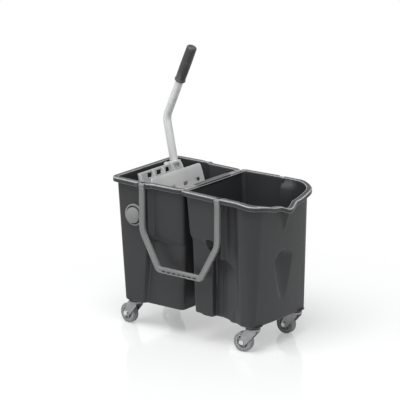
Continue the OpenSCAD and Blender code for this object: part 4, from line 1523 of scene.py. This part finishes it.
        sizes = [14, *(1 for _ in plain), 4, 7, 36, 1, 1, 26, 0] + [1] * len(rows)
        radii = np.stack([flat + r for r in sizes], axis=-1)
        radii[:, len(plain) + 7] = 18 + 34 * self.share(z)
        spots = np.stack(front, axis=1)
        tip = np.stack([self.end - end, flat], axis=-1)[:, None]
        return (
            np.concatenate([spots, tip, spots[:, ::-1] * [1, -1]], axis=1),
            np.concatenate([radii, 1 + 0 * flat[:, None], radii[:, ::-1]], axis=1),
            [*steps, 0, *steps[::-1]],
        )

    def levels(self) -> Points:
        """Inset and height of the rings, which lie close where the shoulder rolls in.

        Returns:
            Levels x 2.
        """
        band = np.concatenate([np.linspace(254, 280, 12)[:-1], np.arange(280, 345, 1.7)])
        foot, head = np.arange(108, 250, 5.0), [351, 358, 366, 376, 388, 400, 415, 430, 438]
        outer = np.concatenate([[88, 95], foot, band, head, [445, 452, 458]])
        down, bottom = [458, 450, 442, 432, 400, 370, 351], [240, 215, 187, 165, 143, 118, 100, 93]
        return self.section(outer, np.concatenate([down, band[::-2], bottom]))

    def shell(self) -> tuple[Points, Points]:
        """The moulded skin.

        Rings of the plan at the section's insets and heights; the shoulder leans with x, the end
        is hollowed by a double cone and drawn out to the spout, and the niches are pushed in.

        Returns:
            Rows of rings, and the edge lightening of each ring, which on the rim is a painted
            highlight.
        """
        inset, z = self.levels().T
        under = smooth((self.rim_z - 2 - z) / self.bay_run)
        hollow = self.bay_rim + self.bay * np.where(inset < self.rim_from, 0.0, under)
        low = self.roll(z, self.shoulder + self.roll_h, self.roll_h)
        rings = outlines(*self.plan(z, low, hollow), inset)
        nominal = rings[self.wall_ring(z), :, 0]
        fine = (nominal > self.fine[0]) & (nominal < self.fine[1])
        rings = spread(rings, np.where(fine, *self.spacing))
        nominal = rings[self.wall_ring(z), :, 0]
        x, y = np.maximum(rings[..., 0], self.gap_side(inset)[:, None]), rings[..., 1]
        high = np.broadcast_to(z[:, None], x.shape)
        out, fall = self.spout(x, y, high, inset)
        across = x + out - self.scoop(x, y, high)
        points = np.stack([across, y, high - fall + self.lift(x, high)], axis=-1)
        points = self.push_niches(points, inset)
        return self.cut_notches(points, inset, nominal), self.rub_and_highlight(inset, z)

    def spout(self, x: Points, y: Points, z: Points, inset: Points) -> tuple[Points, Points]:
        """How far the end stands out to the spout, and how far its rim falls.

        Across the end the rim's spout is the square of a cosine, and the gusset in the wall is a
        fold with straight sides; both narrow down the wall. The rim falls towards the end, sinks
        across it in a sag, and dips once more at the spout.

        Args:
            x: x of the points.
            y: y of the points.
            z: z of the points.
            inset: inset of each level.

        Returns:
            Both lengths, in the points' shape.
        """
        on_rim = np.clip((z - self.gusset) / (self.rim_z - self.rim_t - self.gusset), 0, 1)
        on_rim = np.where(inset[:, None] < 0, 1.0, on_rim)
        at_end, wide = x > self.end / 2, np.abs(y)
        nose = np.clip(wide / (self.spout_half * (0.08 + 0.92 * on_rim)), 0, 1)
        bump = np.where(at_end, np.cos(np.pi / 2 * nose) ** 2, 0) * on_rim
        fold = np.hypot(wide / (self.prow_half * (0.05 + 0.95 * on_rim)), 0.12)
        prow = np.where(at_end, np.clip(1 - fold, 0, 1), 0) * on_rim
        on_wall = (np.abs(inset) < 0.5)[:, None]
        out = np.where(on_wall, self.prow_out * prow, self.spout_out * bump)
        sag = np.where(at_end, self.sag * smooth((self.sag_half - wide) / self.sag_ease), 0)
        drop = self.drop * smooth((x - self.ramp_x) / (self.end - self.ramp_x))
        return out, (drop + sag) * on_rim + self.spout_dip * bump

    def lift(self, x: Points, z: Points) -> Points:
        """Rise of the tilted shoulder and of the stepped underside.

        The tilt falls evenly from the gap to the panels' far side; each step is a smooth step
        along x that fades out upwards.

        Args:
            x: x of the points.
            z: z of the points.

        Returns:
            Rises in the points' shape.
        """
        along = np.clip((x - self.half_gap) / (self.panel_x - self.half_gap), 0, 1)
        tilt = np.interp(z, *self.lean) * (self.tilt * (1 - along))
        step = sum(rise * (1 - smooth((x - start) / way)) for start, way, rise in self.steps)
        low, high = self.steps_z
        return tilt + step * np.clip((high - z) / (high - low), 0, 1)

    def scoop(self, x: Points, y: Points, z: Points) -> Points:
        """Hollow for tipping the bucket: the side of a double cone, deepest near its front edge.

        The way across, t = 0..1, is bent to a power of t before the cone's depth is taken, and
        the hollow's rim is eased.

        Args:
            x: x of the points.
            y: y of the points.
            z: z of the points.

        Returns:
            Depths in the points' shape.
        """
        away = (self.scoop_half**2 - self.scoop_in**2) / (2 * self.scoop_in)
        over = z - self.scoop_z
        fade = np.where(over > 0, over / self.scoop_up, -over / self.scoop_down)
        radius = away + self.scoop_in * (1 - fade)
        half = np.sqrt(np.maximum(radius**2 - away**2, 1e-6))
        across = half * (2 * np.clip((y / half + 1) / 2, 0, 1) ** self.scoop_skew - 1)
        across = np.where(np.abs(y) > half, y, across)
        deep = np.sqrt(np.maximum(radius**2 - across**2, 0)) - away
        eased = (deep + np.sqrt(deep**2 + self.scoop_ease)) / 2
        return np.where((x > self.end / 2) & (radius > 0), eased, 0)

    def push_niches(self, points: Points, inset: Points) -> Points:
        """Moves the wall back inside the niches' outline, grown by the wall on the inner side.

        Args:
            points: rows of rings.
            inset: inset of each level.

        Returns:
            The rings with niches.
        """
        inner = np.maximum(inset, 0)[:, None]
        x, y, z = points[..., 0], points[..., 1], points[..., 2]
        deep = self.depth_in(x, z) + inner
        ramp = self.niche_ramp * np.maximum(x - self.ramp_from, 0) / self.ramp_run
        head = self.niche_head * smooth((z - self.head_z) / self.head_run)
        back = self.niche_y - inner + ramp - head
        wall, soft = np.abs(y), self.niche_soft
        push = smooth((deep + soft) / (2 * soft)) * np.maximum(wall - back, 0)
        return np.stack([x, np.sign(y) * (wall - push), z], axis=-1)

    def build(self) -> bpy.types.Object:
        """Makes the bucket.

        Returns:
            The finished piece.
        """
        skin, rub_and_highlight = self.shell()
        # edge shares: the rim's edges get a painted highlight
        made = Surface("rinse_bucket").grid(skin, rub_and_highlight=rub_and_highlight)
        for side in Side:
            for block in (
                self.lug(122.0, 130.0, 147.0, 147.0),
                self.lug(150.0, 158.0, 147.4, 133.4),
                self.post(Corner.FRONT_RIGHT),
            ):
                made.grid(block * [1.0, side.value, 1.0])
        return made.piece(Slot.BUCKET, Body.BUCKETS.value, "bucket_rinse")


def divided(rings: Points, cuts: dict[int, Points]) -> Points:
    """Adds stations at given shares of some sides of rings.

    Args:
        rings: levels x stations x 2.
        cuts: shares from 0 to 1 on the side after a station.

    Returns:
        The finer rings.
    """
    found = []
    for i in range(rings.shape[1]):
        found.append(rings[:, i : i + 1])
        if i in cuts:
            t = np.asarray(cuts[i])[None, :, None]
            found.append(rings[:, i : i + 1] * (1 - t) + rings[:, i + 1 : i + 2] * t)
    return np.concatenate(found, axis=1)


def sweep(path: Points, radius: float, steps: int = 40) -> Points:
    """Circle carried along a path in the plane of x and z.

    Each ring is the path's point plus radius (cos t n + sin t y), where n is the path's normal.

    Args:
        path: rows of x and z.
        radius: radius of the circle.
        steps: points in a ring.

    Returns:
        Rows of rings.
    """
    along = unit(np.gradient(path, axis=0))
    normal = left_of(along)
    t = np.linspace(0, 2 * np.pi, steps, endpoint=False)
    x = path[:, None, 0] + radius * np.cos(t) * normal[:, None, 0]
    z = path[:, None, 1] + radius * np.cos(t) * normal[:, None, 1]
    y = np.broadcast_to(radius * np.sin(t), x.shape)
    return np.stack([x, y, z], axis=-1)


def sideways(points: Points) -> Points:
    """Turns the z axis to x."""
    return np.stack([points[..., 2], points[..., 1], -points[..., 0]], axis=-1)


def leaning(points: Points, foot: Points, head: Points) -> Points:
    """Turns the z axis to lie from foot to head in the plane of x and z, starting at foot.

    Args:
        points: points about the z axis.
        foot: x and z where the turned axis starts.
        head: x and z of a place that it passes.

    Returns:
        The turned points.
    """
    dx, dz = unit(head - foot)
    x, y, z = points[..., 0], points[..., 1], points[..., 2]
    return np.stack([foot[0] + x * dz + z * dx, y, foot[1] - x * dx + z * dz], axis=-1)


@dataclass(frozen=True)
class SwingHandle:
    """Swing handle: a flat bar bent in its plane, with a barrel on each hinge pin.

    Attributes:
        side: where it hangs.
        half: half of the distance between the hinges.
        wide: width of the bar in its plane.
        thick: thickness of the bar.
        soft: rounding of the bar's edges.
        hinge_y: half depth of the hinges.
        hinge_z: height of the hinges.
        bend: outer corner of the legs, and its radius.
        bar: outer corner of the grip bar, and its radius.
        groove: depth of the groove.
        pocket: depth of the pockets.
        pocket_half: half length of a pocket.
        pocket_step: distance between pockets.
    """

    side: Side
    half: float = 140.0
    wide: float = 18.0
    thick: float = 11.0
    soft: float = 2.4
    hinge_y: float = 157.5
    hinge_z: float = 457.0
    bend: Triple = (149.0, 317.0, 75.0)
    bar: Triple = (84.0, 201.0, 22.0)
    groove: float = 1.2
    pocket: float = 8.0
    pocket_half: float = 7.0
    pocket_step: float = 19.09

    def section(self) -> Points:
        """Rounded bar section, with stations at the reliefs' edges.

        Returns:
            Rows of inset from the outer edge, and depth.
        """
        near, r, w = self.thick / 2, self.soft, self.wide
        front = np.array([2.6, 3.4, 8.6, 9.4, 11.7, 12.3, 14.7, 15.3])
        return np.concatenate(
            [
                np.stack([front, 0 * front - near], axis=-1),
                arc((w - r, r - near), r, -90, 0, 5),
                arc((w - r, near - r), r, 0, 90, 5),
                arc((r, near - r), r, 90, 180, 5),
                arc((r, r - near), r, 180, 270, 5),
            ]
        )

    def bow(self) -> Points:
        """Bar with its groove and pockets.

        For each point of the section the bent outline is inset by the point's inset, so the arcs
        are concentric; the front face is then pushed in by the reliefs.

        Returns:
            Rows of rings along the path.
        """
        inset, depth = self.section().T
        x0, z0, r0 = self.bend
        x1, z1, r1 = self.bar
        far = 600  # any height over the hinges, where the ends are then set
        half_path = [(x1, z1, r1), (x0, z0, r0), (x0, far, 1)]
        table = [(-x, z, r) for x, z, r in half_path[::-1]] + half_path
        # stations: 0 at a hinge, 1 to 44 on the four bends, 45 at the other hinge
        path = rounded(table, [0, 10, 10, 10, 10, 0], inset)
        path[:, [0, -1], 1] = self.hinge_z
        half = (path[0, 23, 0] - path[0, 22, 0]) / 2
        step = self.pocket_step
        edges = np.arange(-3, 4)[:, None] * step + self.pocket_half * np.array([-1, 1])
        edges = np.sort(np.concatenate([edges.ravel() - 0.4, edges.ravel() + 0.4]))
        cuts = {0: np.array([0.115, 0.135, 0.5]), 11: np.array([0.35, 0.7, 0.955, 0.975])}
        mirrored = {44 - k: 1 - shares[::-1] for k, shares in cuts.items()}
        path = divided(path, {**cuts, **mirrored, 22: (edges + half) / (2 * half)})
        x, z = path[..., 0], path[..., 1]
        face = (depth < 0.01 - self.thick / 2)[:, None]
        open_x = np.abs((x[0] + 3.5 * step) % step - step / 2)
        in_bar = (np.abs(x[0]) < 3.5 * step) & (z[0] < z1 + 4)
        pockets = ((inset > 3) & (inset < 9))[:, None] & (open_x < self.pocket_half) & in_bar
        lines = ((inset > 12) & (inset < 15))[:, None]
        lines = lines & (z > z1 + self.wide + 4) & (z < self.hinge_z - 15)
        y = depth[:, None] + face * (self.pocket * pockets + self.groove * lines)
        return np.stack([x, y, z], axis=-1).transpose(1, 0, 2)

    def barrel(self, x: float) -> Points:
        """Barrel round a hinge pin: a closed profile turned about the x axis."""
        profile = rounded([(3.1, -9, 0.5), (7, -9, 1.2), (7, 9, 1.2), (3.1, 9, 0.5)], 3)[0]
        return sideways(revolve(profile, 40)) + [x, 0.0, self.hinge_z]

    def build(self) -> bpy.types.Object:
        """Makes the handle.

        Returns:
            The finished piece.
        """
        where, sign = self.side.label, self.side.value
        place = np.array([0.0, -sign * self.hinge_y, 0.0])
        made = Surface(f"{where}_handle").grid(self.bow() * [1.0, sign, 1.0] + place)
        for x in (-self.half, self.half):
            made.grid(self.barrel(x) + place, ring=True)
        return made.piece(Slot.HANDLE, Body(f"{where}_handle").value, f"handle_{where}")


@dataclass(frozen=True)
class PivotCover:
    """Round cover over one end of the press axle: an outer ring and a domed button.

    Attributes:
        side: where it sits.
        ring: outer radius of the ring.
        bore: inner radius of the ring.
        ring_t: thickness of the ring.
        button: radius of the button.
        height: height of the button.
        dome: radius of the dome.
        soft: rounding of the button's edge.
    """

    side: Side
    ring: float = 33.5
    bore: float = 27.5
    ring_t: float = 5.0
    button: float = 24.0
    height: float = 16.0
    dome: float = 48.0
    soft: float = 2.2

    def build(self) -> list[bpy.types.Object]:
        """Makes both pieces.

        Returns:
            The ring and the button.
        """
        where = self.side.label
        low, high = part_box(f"cover_ring_{where}")
        seat = high if self.side is Side.FRONT else low
        place = np.array([AXLE_X, 1000 * seat.y, AXLE_Z])
        foot = [(self.bore, 0, 0.3), (self.ring, 0, 0.3)]
        face = [(self.ring, self.ring_t, 2.6), (self.bore, self.ring_t, 1.6)]
        band = revolve(rounded(foot + face, [2, 2, 8, 6])[0], 96)
        r = np.concatenate([np.linspace(self.button - self.soft, 3, 14), [0.4]])
        crown = self.height - self.dome + np.sqrt(self.dome**2 - r**2)
        edge = arc((self.button - self.soft, crown[0] - 2.0), self.soft, 0, 64, 6)
        wall = [[self.button, 0.0], [self.button, 1.0]]
        dome = revolve(np.concatenate([wall, edge, np.stack([r, crown], axis=-1)]), 72)
        ring = Surface(f"cover_ring_{where}").grid(lying(band, self.side) + place, ring=True)
        button = Surface(f"cover_button_{where}").grid(lying(dome, self.side) + place, fan=True)
        return [
            made.piece(Slot.COVER, Body.BUCKETS.value, made.name) for made in (ring, button)
        ]


@dataclass(frozen=True)
class Press:
    """Lever press: the jaw with its pierced walls, the bent lever and its rubber grip.

    Attributes:
        jaw_half: half length of the hub.
        plate_half: half length of the press plate.
        lever_y: where the lever stands.
        back_foot: foot of the back wall, from the axle.
        back_top: top of the back wall.
        back_ends: ends of the back wall along the axle.
        window: middle of the four windows in the back wall, and the distance between them.
        window_half: half width of a window.
        plate_foot: foot of the press plate.
        plate_top: top of the press plate.
        plate_r: rounding of the plate's top corners.
        slot_half: half length of a slot in the plate.
        ribs: places of the ribs along the axle.
        foot: where the lever leaves its socket.
        bend: corner of the lever.
        top: end of the grip.
        bend_r: bend radius of the lever.
        tube: radius of the lever.
        grip: radius of the grip.
        grip_l: length of the grip.
        socket_l: depth of the lever in its socket.
        hub: bore and radius of the hub on the axle.
        peg_z: height of the peg that rests on the end wall, from the axle.
        peg_r: radius of the peg.
    """

    jaw_half: float = 112.0
    plate_half: float = 120.0
    lever_y: float = 84.0
    back_foot: Pair = (0.0, 6.0)
    back_top: Pair = (-14.0, 116.0)
    back_ends: Pair = (-110.0, 89.0)
    window: Pair = (6.7, 43.5)
    window_half: float = 11.0
    plate_foot: Pair = (66.0, 33.0)
    plate_top: Pair = (40.0, 111.0)
    plate_r: float = 12.0
    slot_half: float = 10.0
    ribs: tuple[float, ...] = (-87.5, -46.25, 0.0, 46.25, 108.5)
    foot: Pair = (-31.0, 113.0)
    bend: Pair = (-59.0, 247.0)
    top: Pair = (39.0, 476.0)
    bend_r: float = 55.0
    tube: float = 12.5
    grip: float = 15.5
    grip_l: float = 120.0
    socket_l: float = 58.0
    hub: Pair = (7.1, 14.0)
    peg_z: float = 96.0
    peg_r: float = 8.0

    def at(self, points: Points, y: float = 0.0) -> Points:
        """Points of the swing plane at the axle."""
        return points + [AXLE_X, y, AXLE_Z]

    def socket_foot(self) -> Points:
        """Lower end of the lever."""
        return np.array(self.foot) - self.socket_l * unit(np.subtract(self.bend, self.foot))

    def lever_path(self) -> Points:
        """Centre line of the lever: straight, arc, straight.

        The arc is tangent to both straights, at bend radius times tan(turn / 2) from the corner.

        Returns:
            Rows of x and z.
        """
        start, corner, end = self.socket_foot(), np.array(self.bend), np.array(self.top)
        low, high = unit(corner - start), unit(end - corner)
        turn = math.acos(float(low @ high))
        cut = self.bend_r * math.tan(turn / 2)
        first = corner - cut * low
        centre = first - self.bend_r * left_of(low)
        a = -np.linspace(0, turn, 17)[:, None]
        arm = first - centre
        bow = centre + arm * np.cos(a) + left_of(arm) * np.sin(a)
        lower = start + (first - start) * np.linspace(0, 0.98, 12)[:, None]
        upper = bow[-1] + (end - 8 * high - bow[-1]) * np.linspace(0.02, 1, 14)[:, None]
        return np.concatenate([lower, bow, upper])

    def plate(self, made: Surface) -> None:
        """Press plate: a flat grid with two rows of slots and rounded top corners.

        Args:
            made: surface that it is added to.
        """
        foot, top = np.array(self.plate_foot), np.array(self.plate_top)
        tall = float(np.linalg.norm(top - foot))
        half, r, head = self.plate_half, self.plate_r, 28
        bow = half - r + r * np.sin(np.linspace(0, np.pi / 2, 9))
        slots = (np.arange(-1.5, 2) * half / 2)[:, None] + self.slot_half * np.array([-1, 1])
        u = np.unique(np.concatenate([-bow, slots.ravel(), bow]).round(4))
        v = np.array([0, *(tall - down for down in (73.5, 62.5, 51.5, 40.5, head, r, 0))])
        middle = (u[1:] + u[:-1]) / 2
        slotted = (np.abs(middle[:, None] - slots.mean(axis=1)) < self.slot_half).any(axis=1)
        holes = slotted[:, None] & np.isin(np.arange(len(v) - 1), (1, 3))
        over = np.clip(np.abs(u) - half + r, 0, r)
        crown = tall - r + np.sqrt(np.maximum(r * r - over * over, 0))
        v = v[None] + np.clip((v[None] - tall + head) / head, 0, 1) * (crown - tall)[:, None]
        x = foot[0] + (top - foot)[0] * v / tall
        z = foot[1] + (top - foot)[1] * v / tall
        middle_points = np.stack([x, np.broadcast_to(u[:, None], x.shape), z], axis=-1)
        out = left_of(unit(top - foot)) * 2.0
        made.pierced(self.at(middle_points), np.array([out[0], 0.0, out[1]]), holes)

    def back_wall(self, made: Surface) -> None:
        """Ribbed back wall: a flat grid with one window in each bay.

        Args:
            made: surface that it is added to.
        """
        foot, top = np.array(self.back_foot), np.array(self.back_top)
        middle, apart = self.window
        sides = (np.arange(-1.5, 2) * apart + middle)[:, None]
        sides = sides + self.window_half * np.array([-1, 1])
        near, far = self.back_ends
        u = np.array([near, *sides.ravel(), far])
        v = (np.array([foot[1], 94.0, 109.0, top[1]]) - foot[1]) / (top - foot)[1]
        holes = (np.arange(len(u) - 1) % 2 == 1)[:, None] & (np.arange(3) == 1)
        x, z = (foot[k] + (top - foot)[k] * v[None] + 0 * u[:, None] for k in (0, 1))
        wall = np.stack([x, u[:, None] + 0 * x, z], axis=-1)
        out = left_of(unit(top - foot)) * 1.75
        made.pierced(self.at(wall), np.array([out[0], 0.0, out[1]]), holes)

    def rib(self, y: float) -> Points:
        """Rib between the back wall and the plate: a polygon carried along the depth.

        Args:
            y: middle of the rib.

        Returns:
            Rows of rings.
        """
        foot, top = np.array(self.plate_foot), np.array(self.plate_top)
        back = np.array(self.back_top)
        spots = [
            (0, 0), foot + [-2, 2], top + 0.2 * (foot - top), (8, 86),
            back + [8, -4], back + [0, -2], self.back_foot,
        ]
        corners = [(*spot, r) for spot, r in zip(spots, (2, 1, 3, 14, 3, 1, 1))]
        return self.at(lying(prism(corners, y - 1.5, y + 1.5, 0.7, 3)))

    def socket(self) -> Points:
        """Socket of the lever: a rounded block with a round bore, as a ring of outlines.

        Returns:
            Rows of rings.
        """
        w, d = 14.6, 16.5
        block = [(-w, -d, 4), (w, -d, 4), (w, d, 4), (-w, d, 4)]
        outer = rounded(block, 6, (1.2, 0.3, 0.0, 0.0, 0.3, 1.2))
        bore = (self.tube + 0.1) * unit(outer[:1])
        rings = np.concatenate([outer, bore * 1.08, bore, bore, bore * 1.02])
        high = self.socket_l
        z = np.array([-5, -4.1, -3, high - 1.2, high - 0.3, high, high, high - 1, -4, -5])
        rows = leaning(raised(rings, z), self.socket_foot(), np.array(self.foot))
        return self.at(rows, self.lever_y)

    def jaw(self) -> bpy.types.Object:
        """Makes the jaw.

        Returns:
            The finished piece.
        """
        made = Surface("press_jaw")
        self.plate(made)
        self.back_wall(made)
        foot, web, half = np.array(self.plate_foot), np.array([8.0, 2.0]), self.jaw_half
        side = left_of(unit(foot - web)) * 2.0
        corners = [(*spot, 0.8) for spot in (web - side, foot - side, foot + side, web + side)]
        made.grid(self.at(lying(prism(corners, -half, half, 0.8, 3))))
        bore, out = self.hub
        hub = [(bore, -half, 0.4), (out, -half, 1.2), (out, half, 1.2), (bore, half, 0.4)]
        made.grid(self.at(lying(revolve(rounded(hub, 3)[0], 48))), ring=True)
        for y in self.ribs:
            made.grid(self.rib(y))
        made.grid(self.socket(), ring=True)
        low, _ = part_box("press_jaw")
        stop, root, middle, soft = 1000 * low.x - Surface.SHIFT - AXLE_X - 6, -34.0, 0.4, 1.2
        tip = arc((self.peg_r - soft, stop + soft), soft, -90, 0, 4)
        peg = np.concatenate([[[middle, stop]], tip, [[self.peg_r, root], [middle, root]]])
        made.grid(self.at(sideways(revolve(peg, 32)) + [0, 0, self.peg_z], self.lever_y), fan=True)
        return made.piece(Slot.PRESS, Body.PRESS.value, "press_jaw", soft=0.9)

    def build(self) -> list[bpy.types.Object]:
        """Makes the jaw, the lever and the grip.

        Returns:
            The finished pieces.
        """
        tube = self.at(sweep(self.lever_path(), self.tube, 48), self.lever_y)
        lever = Surface("press_lever").grid(tube, fan=True)
        r, long = self.grip, self.grip_l
        top = np.array(self.top)
        start = top - long * unit(top - np.array(self.bend))
        z = np.linspace(9, long - 8, 12)
        body = r + 0.5 * np.sin(np.pi * (z - 9) / (long - 17))
        profile = np.concatenate(
            [
                [[self.tube + 0.2, 0.0]],
                arc((r, 1.5), 1.5, -90, 0, 3),
                arc((r, 4.5), 1.5, 0, 70, 4),
                np.stack([body, z], axis=-1),
                arc((r - 5, long - 5), 5.0, 0, 84, 8),
                [[r - 7.5, long - 0.2], [r - 8.3, long - 0.8], [0.4, long - 0.8]],
            ]
        )
        sleeve = self.at(leaning(revolve(profile, 56), start, top), self.lever_y)
        grip = Surface("lever_grip").grid(sleeve, fan=True)
        return [
            self.jaw(),
            lever.piece(Slot.LEVER, Body.PRESS.value, "press_lever"),
            grip.piece(Slot.GRIP, Body.PRESS.value, "lever_grip"),
        ]


@dataclass(frozen=True)
class Caster:
    """Swivel caster: pressed fork, spoked wheel and tyre.

    Attributes:
        key: short name of its corner.
        x: swivel along the length.
        y: swivel across the depth.
        yaw: turn of the wheel about the swivel, in degrees.
        trail: from the swivel to the wheel.
        wheel: wheel radius.
        wide: wheel width.
        core: radius of the wheel under the tyre.
        top: height of the fork's top.
        fork_half: half width over the fork's cheeks.
        sheet: thickness of the cheeks.
        spokes: number of spokes.
        spoke: thickness of a spoke.
    """

    key: str
    x: float
    y: float
    yaw: float
    trail: float = 30.0
    wheel: float = 30.0
    wide: float = 22.0
    core: float = 23.0
    top: float = 71.2
    fork_half: float = 14.5
    sheet: float = 2.0
    spokes: int = 5
    spoke: float = 2.6

    def at(self, points: Points) -> Points:
        """Points turned by the yaw and moved to the swivel."""
        return turned(points, math.radians(self.yaw)) + [self.x, self.y, 0.0]

    def on_axle(self, points: Points) -> Points:
        """Points laid on the wheel's axle."""
        return self.at(lying(points) + [-self.trail, 0, self.wheel])

    def fork(self) -> bpy.types.Object:
        """Makes the fork: two rounded cheeks, the bridge between them and a round plate.

        Returns:
            The finished piece.
        """
        made = Surface(f"caster_{self.key}_fork")
        near, far, top, half = 16, -20, self.top, self.fork_half
        axle = [(-39, 36, 12), (-39, 21, 8.9), (-21, 21, 8.9)]
        cheek = [(near, 62.2, 5), (near, top, 2), (far, top, 2), *axle]
        for low in (-half, half - self.sheet):
            made.grid(self.at(lying(prism(cheek, low, low + self.sheet, 0.6, 4))))
        bridge = [(far, -half, 1), (near, -half, 1), (near, half, 1), (far, half, 1)]
        made.grid(self.at(prism(bridge, top - 3, top, 0.9, 4)))
        plate = rounded([(5.1, 0, 0.4), (22, 0, 1.2), (22, 3, 1.2), (5.1, 3, 0.4)], 3)[0]
        made.grid(self.at(revolve(plate, 64) + [0, 0, top - 2.98]), ring=True)
        return made.piece(Slot.ZINC, f"fork_{self.key}", f"caster_{self.key}_fork")

    def wheels(self) -> list[bpy.types.Object]:
        """Makes the wheel and its tyre.

        Returns:
            The finished pieces.
        """
        half, rim, out, t = self.wide / 2, self.core, self.wheel, self.spoke / 2
        hub = [(4.1, 12.2, 0.3), (9, 12.2, 1), (9, 2, 1.5), (rim - 4, 2, 1.5)]
        hub += [(rim - 4, half - 1, 0.6), (rim, half - 1, 0.3)]
        tread = [(rim + 0.05, half, 0.5), (out - 1.5, half, 3), (out, half - 3.5, 2)]
        core, cover = (
            [(r, -y, soft) for r, y, soft in side] + side[::-1] for side in (hub, tread)
        )
        wheel = Surface(f"caster_{self.key}_wheel")
        wheel.grid(self.on_axle(revolve(rounded(core, 4)[0], 64)), ring=True)
        flat = [(8, -t, 0.4), (rim - 3, -t, 0.4), (rim - 3, t, 0.4), (8, t, 0.4)]
        spoke = prism(flat, 3 - half, half - 3, 0.5, 2)
        for k in range(self.spokes):
            wheel.grid(self.on_axle(turned(spoke, 2 * math.pi * k / self.spokes)))
        tyre = Surface(f"caster_{self.key}_tyre")
        tyre.grid(self.on_axle(revolve(rounded(cover, 4)[0], 96)), ring=True)
        return [
            wheel.piece(Slot.WHEEL, f"wheel_{self.key}", f"caster_{self.key}_wheel"),
            tyre.piece(Slot.TYRE, f"wheel_{self.key}", f"caster_{self.key}_tyre"),
        ]

    def build(self) -> list[bpy.types.Object]:
        """Makes the fork, the wheel and the tyre.

        Returns:
            The finished pieces.
        """
        return [self.fork(), *self.wheels()]


def dress_nodes() -> None:
    """Gives every CAD node that is still shown the finish of its slot."""
    for part in frame["record"]["subparts"]:
        node = frame["nodes"][part["node"]]
        node.data.materials.clear()
        node.data.materials.append(FINISHES[Slot(part["material_slot"])].build())


def main() -> None:
    """Builds the pieces in order and reports each."""
    logging.basicConfig(level=logging.INFO, format="%(name)s: %(message)s")
    dress_nodes()
    for assembly in (
        WashBucket(),
        RinseBucket(),
        *(SwingHandle(side) for side in Side),
        *(PivotCover(side) for side in Side),
        Press(),
        *(Caster(*corner.value) for corner in Corner),
    ):
        assembly.build()
    Studio().build()


if __name__ == "__main__":
    main()
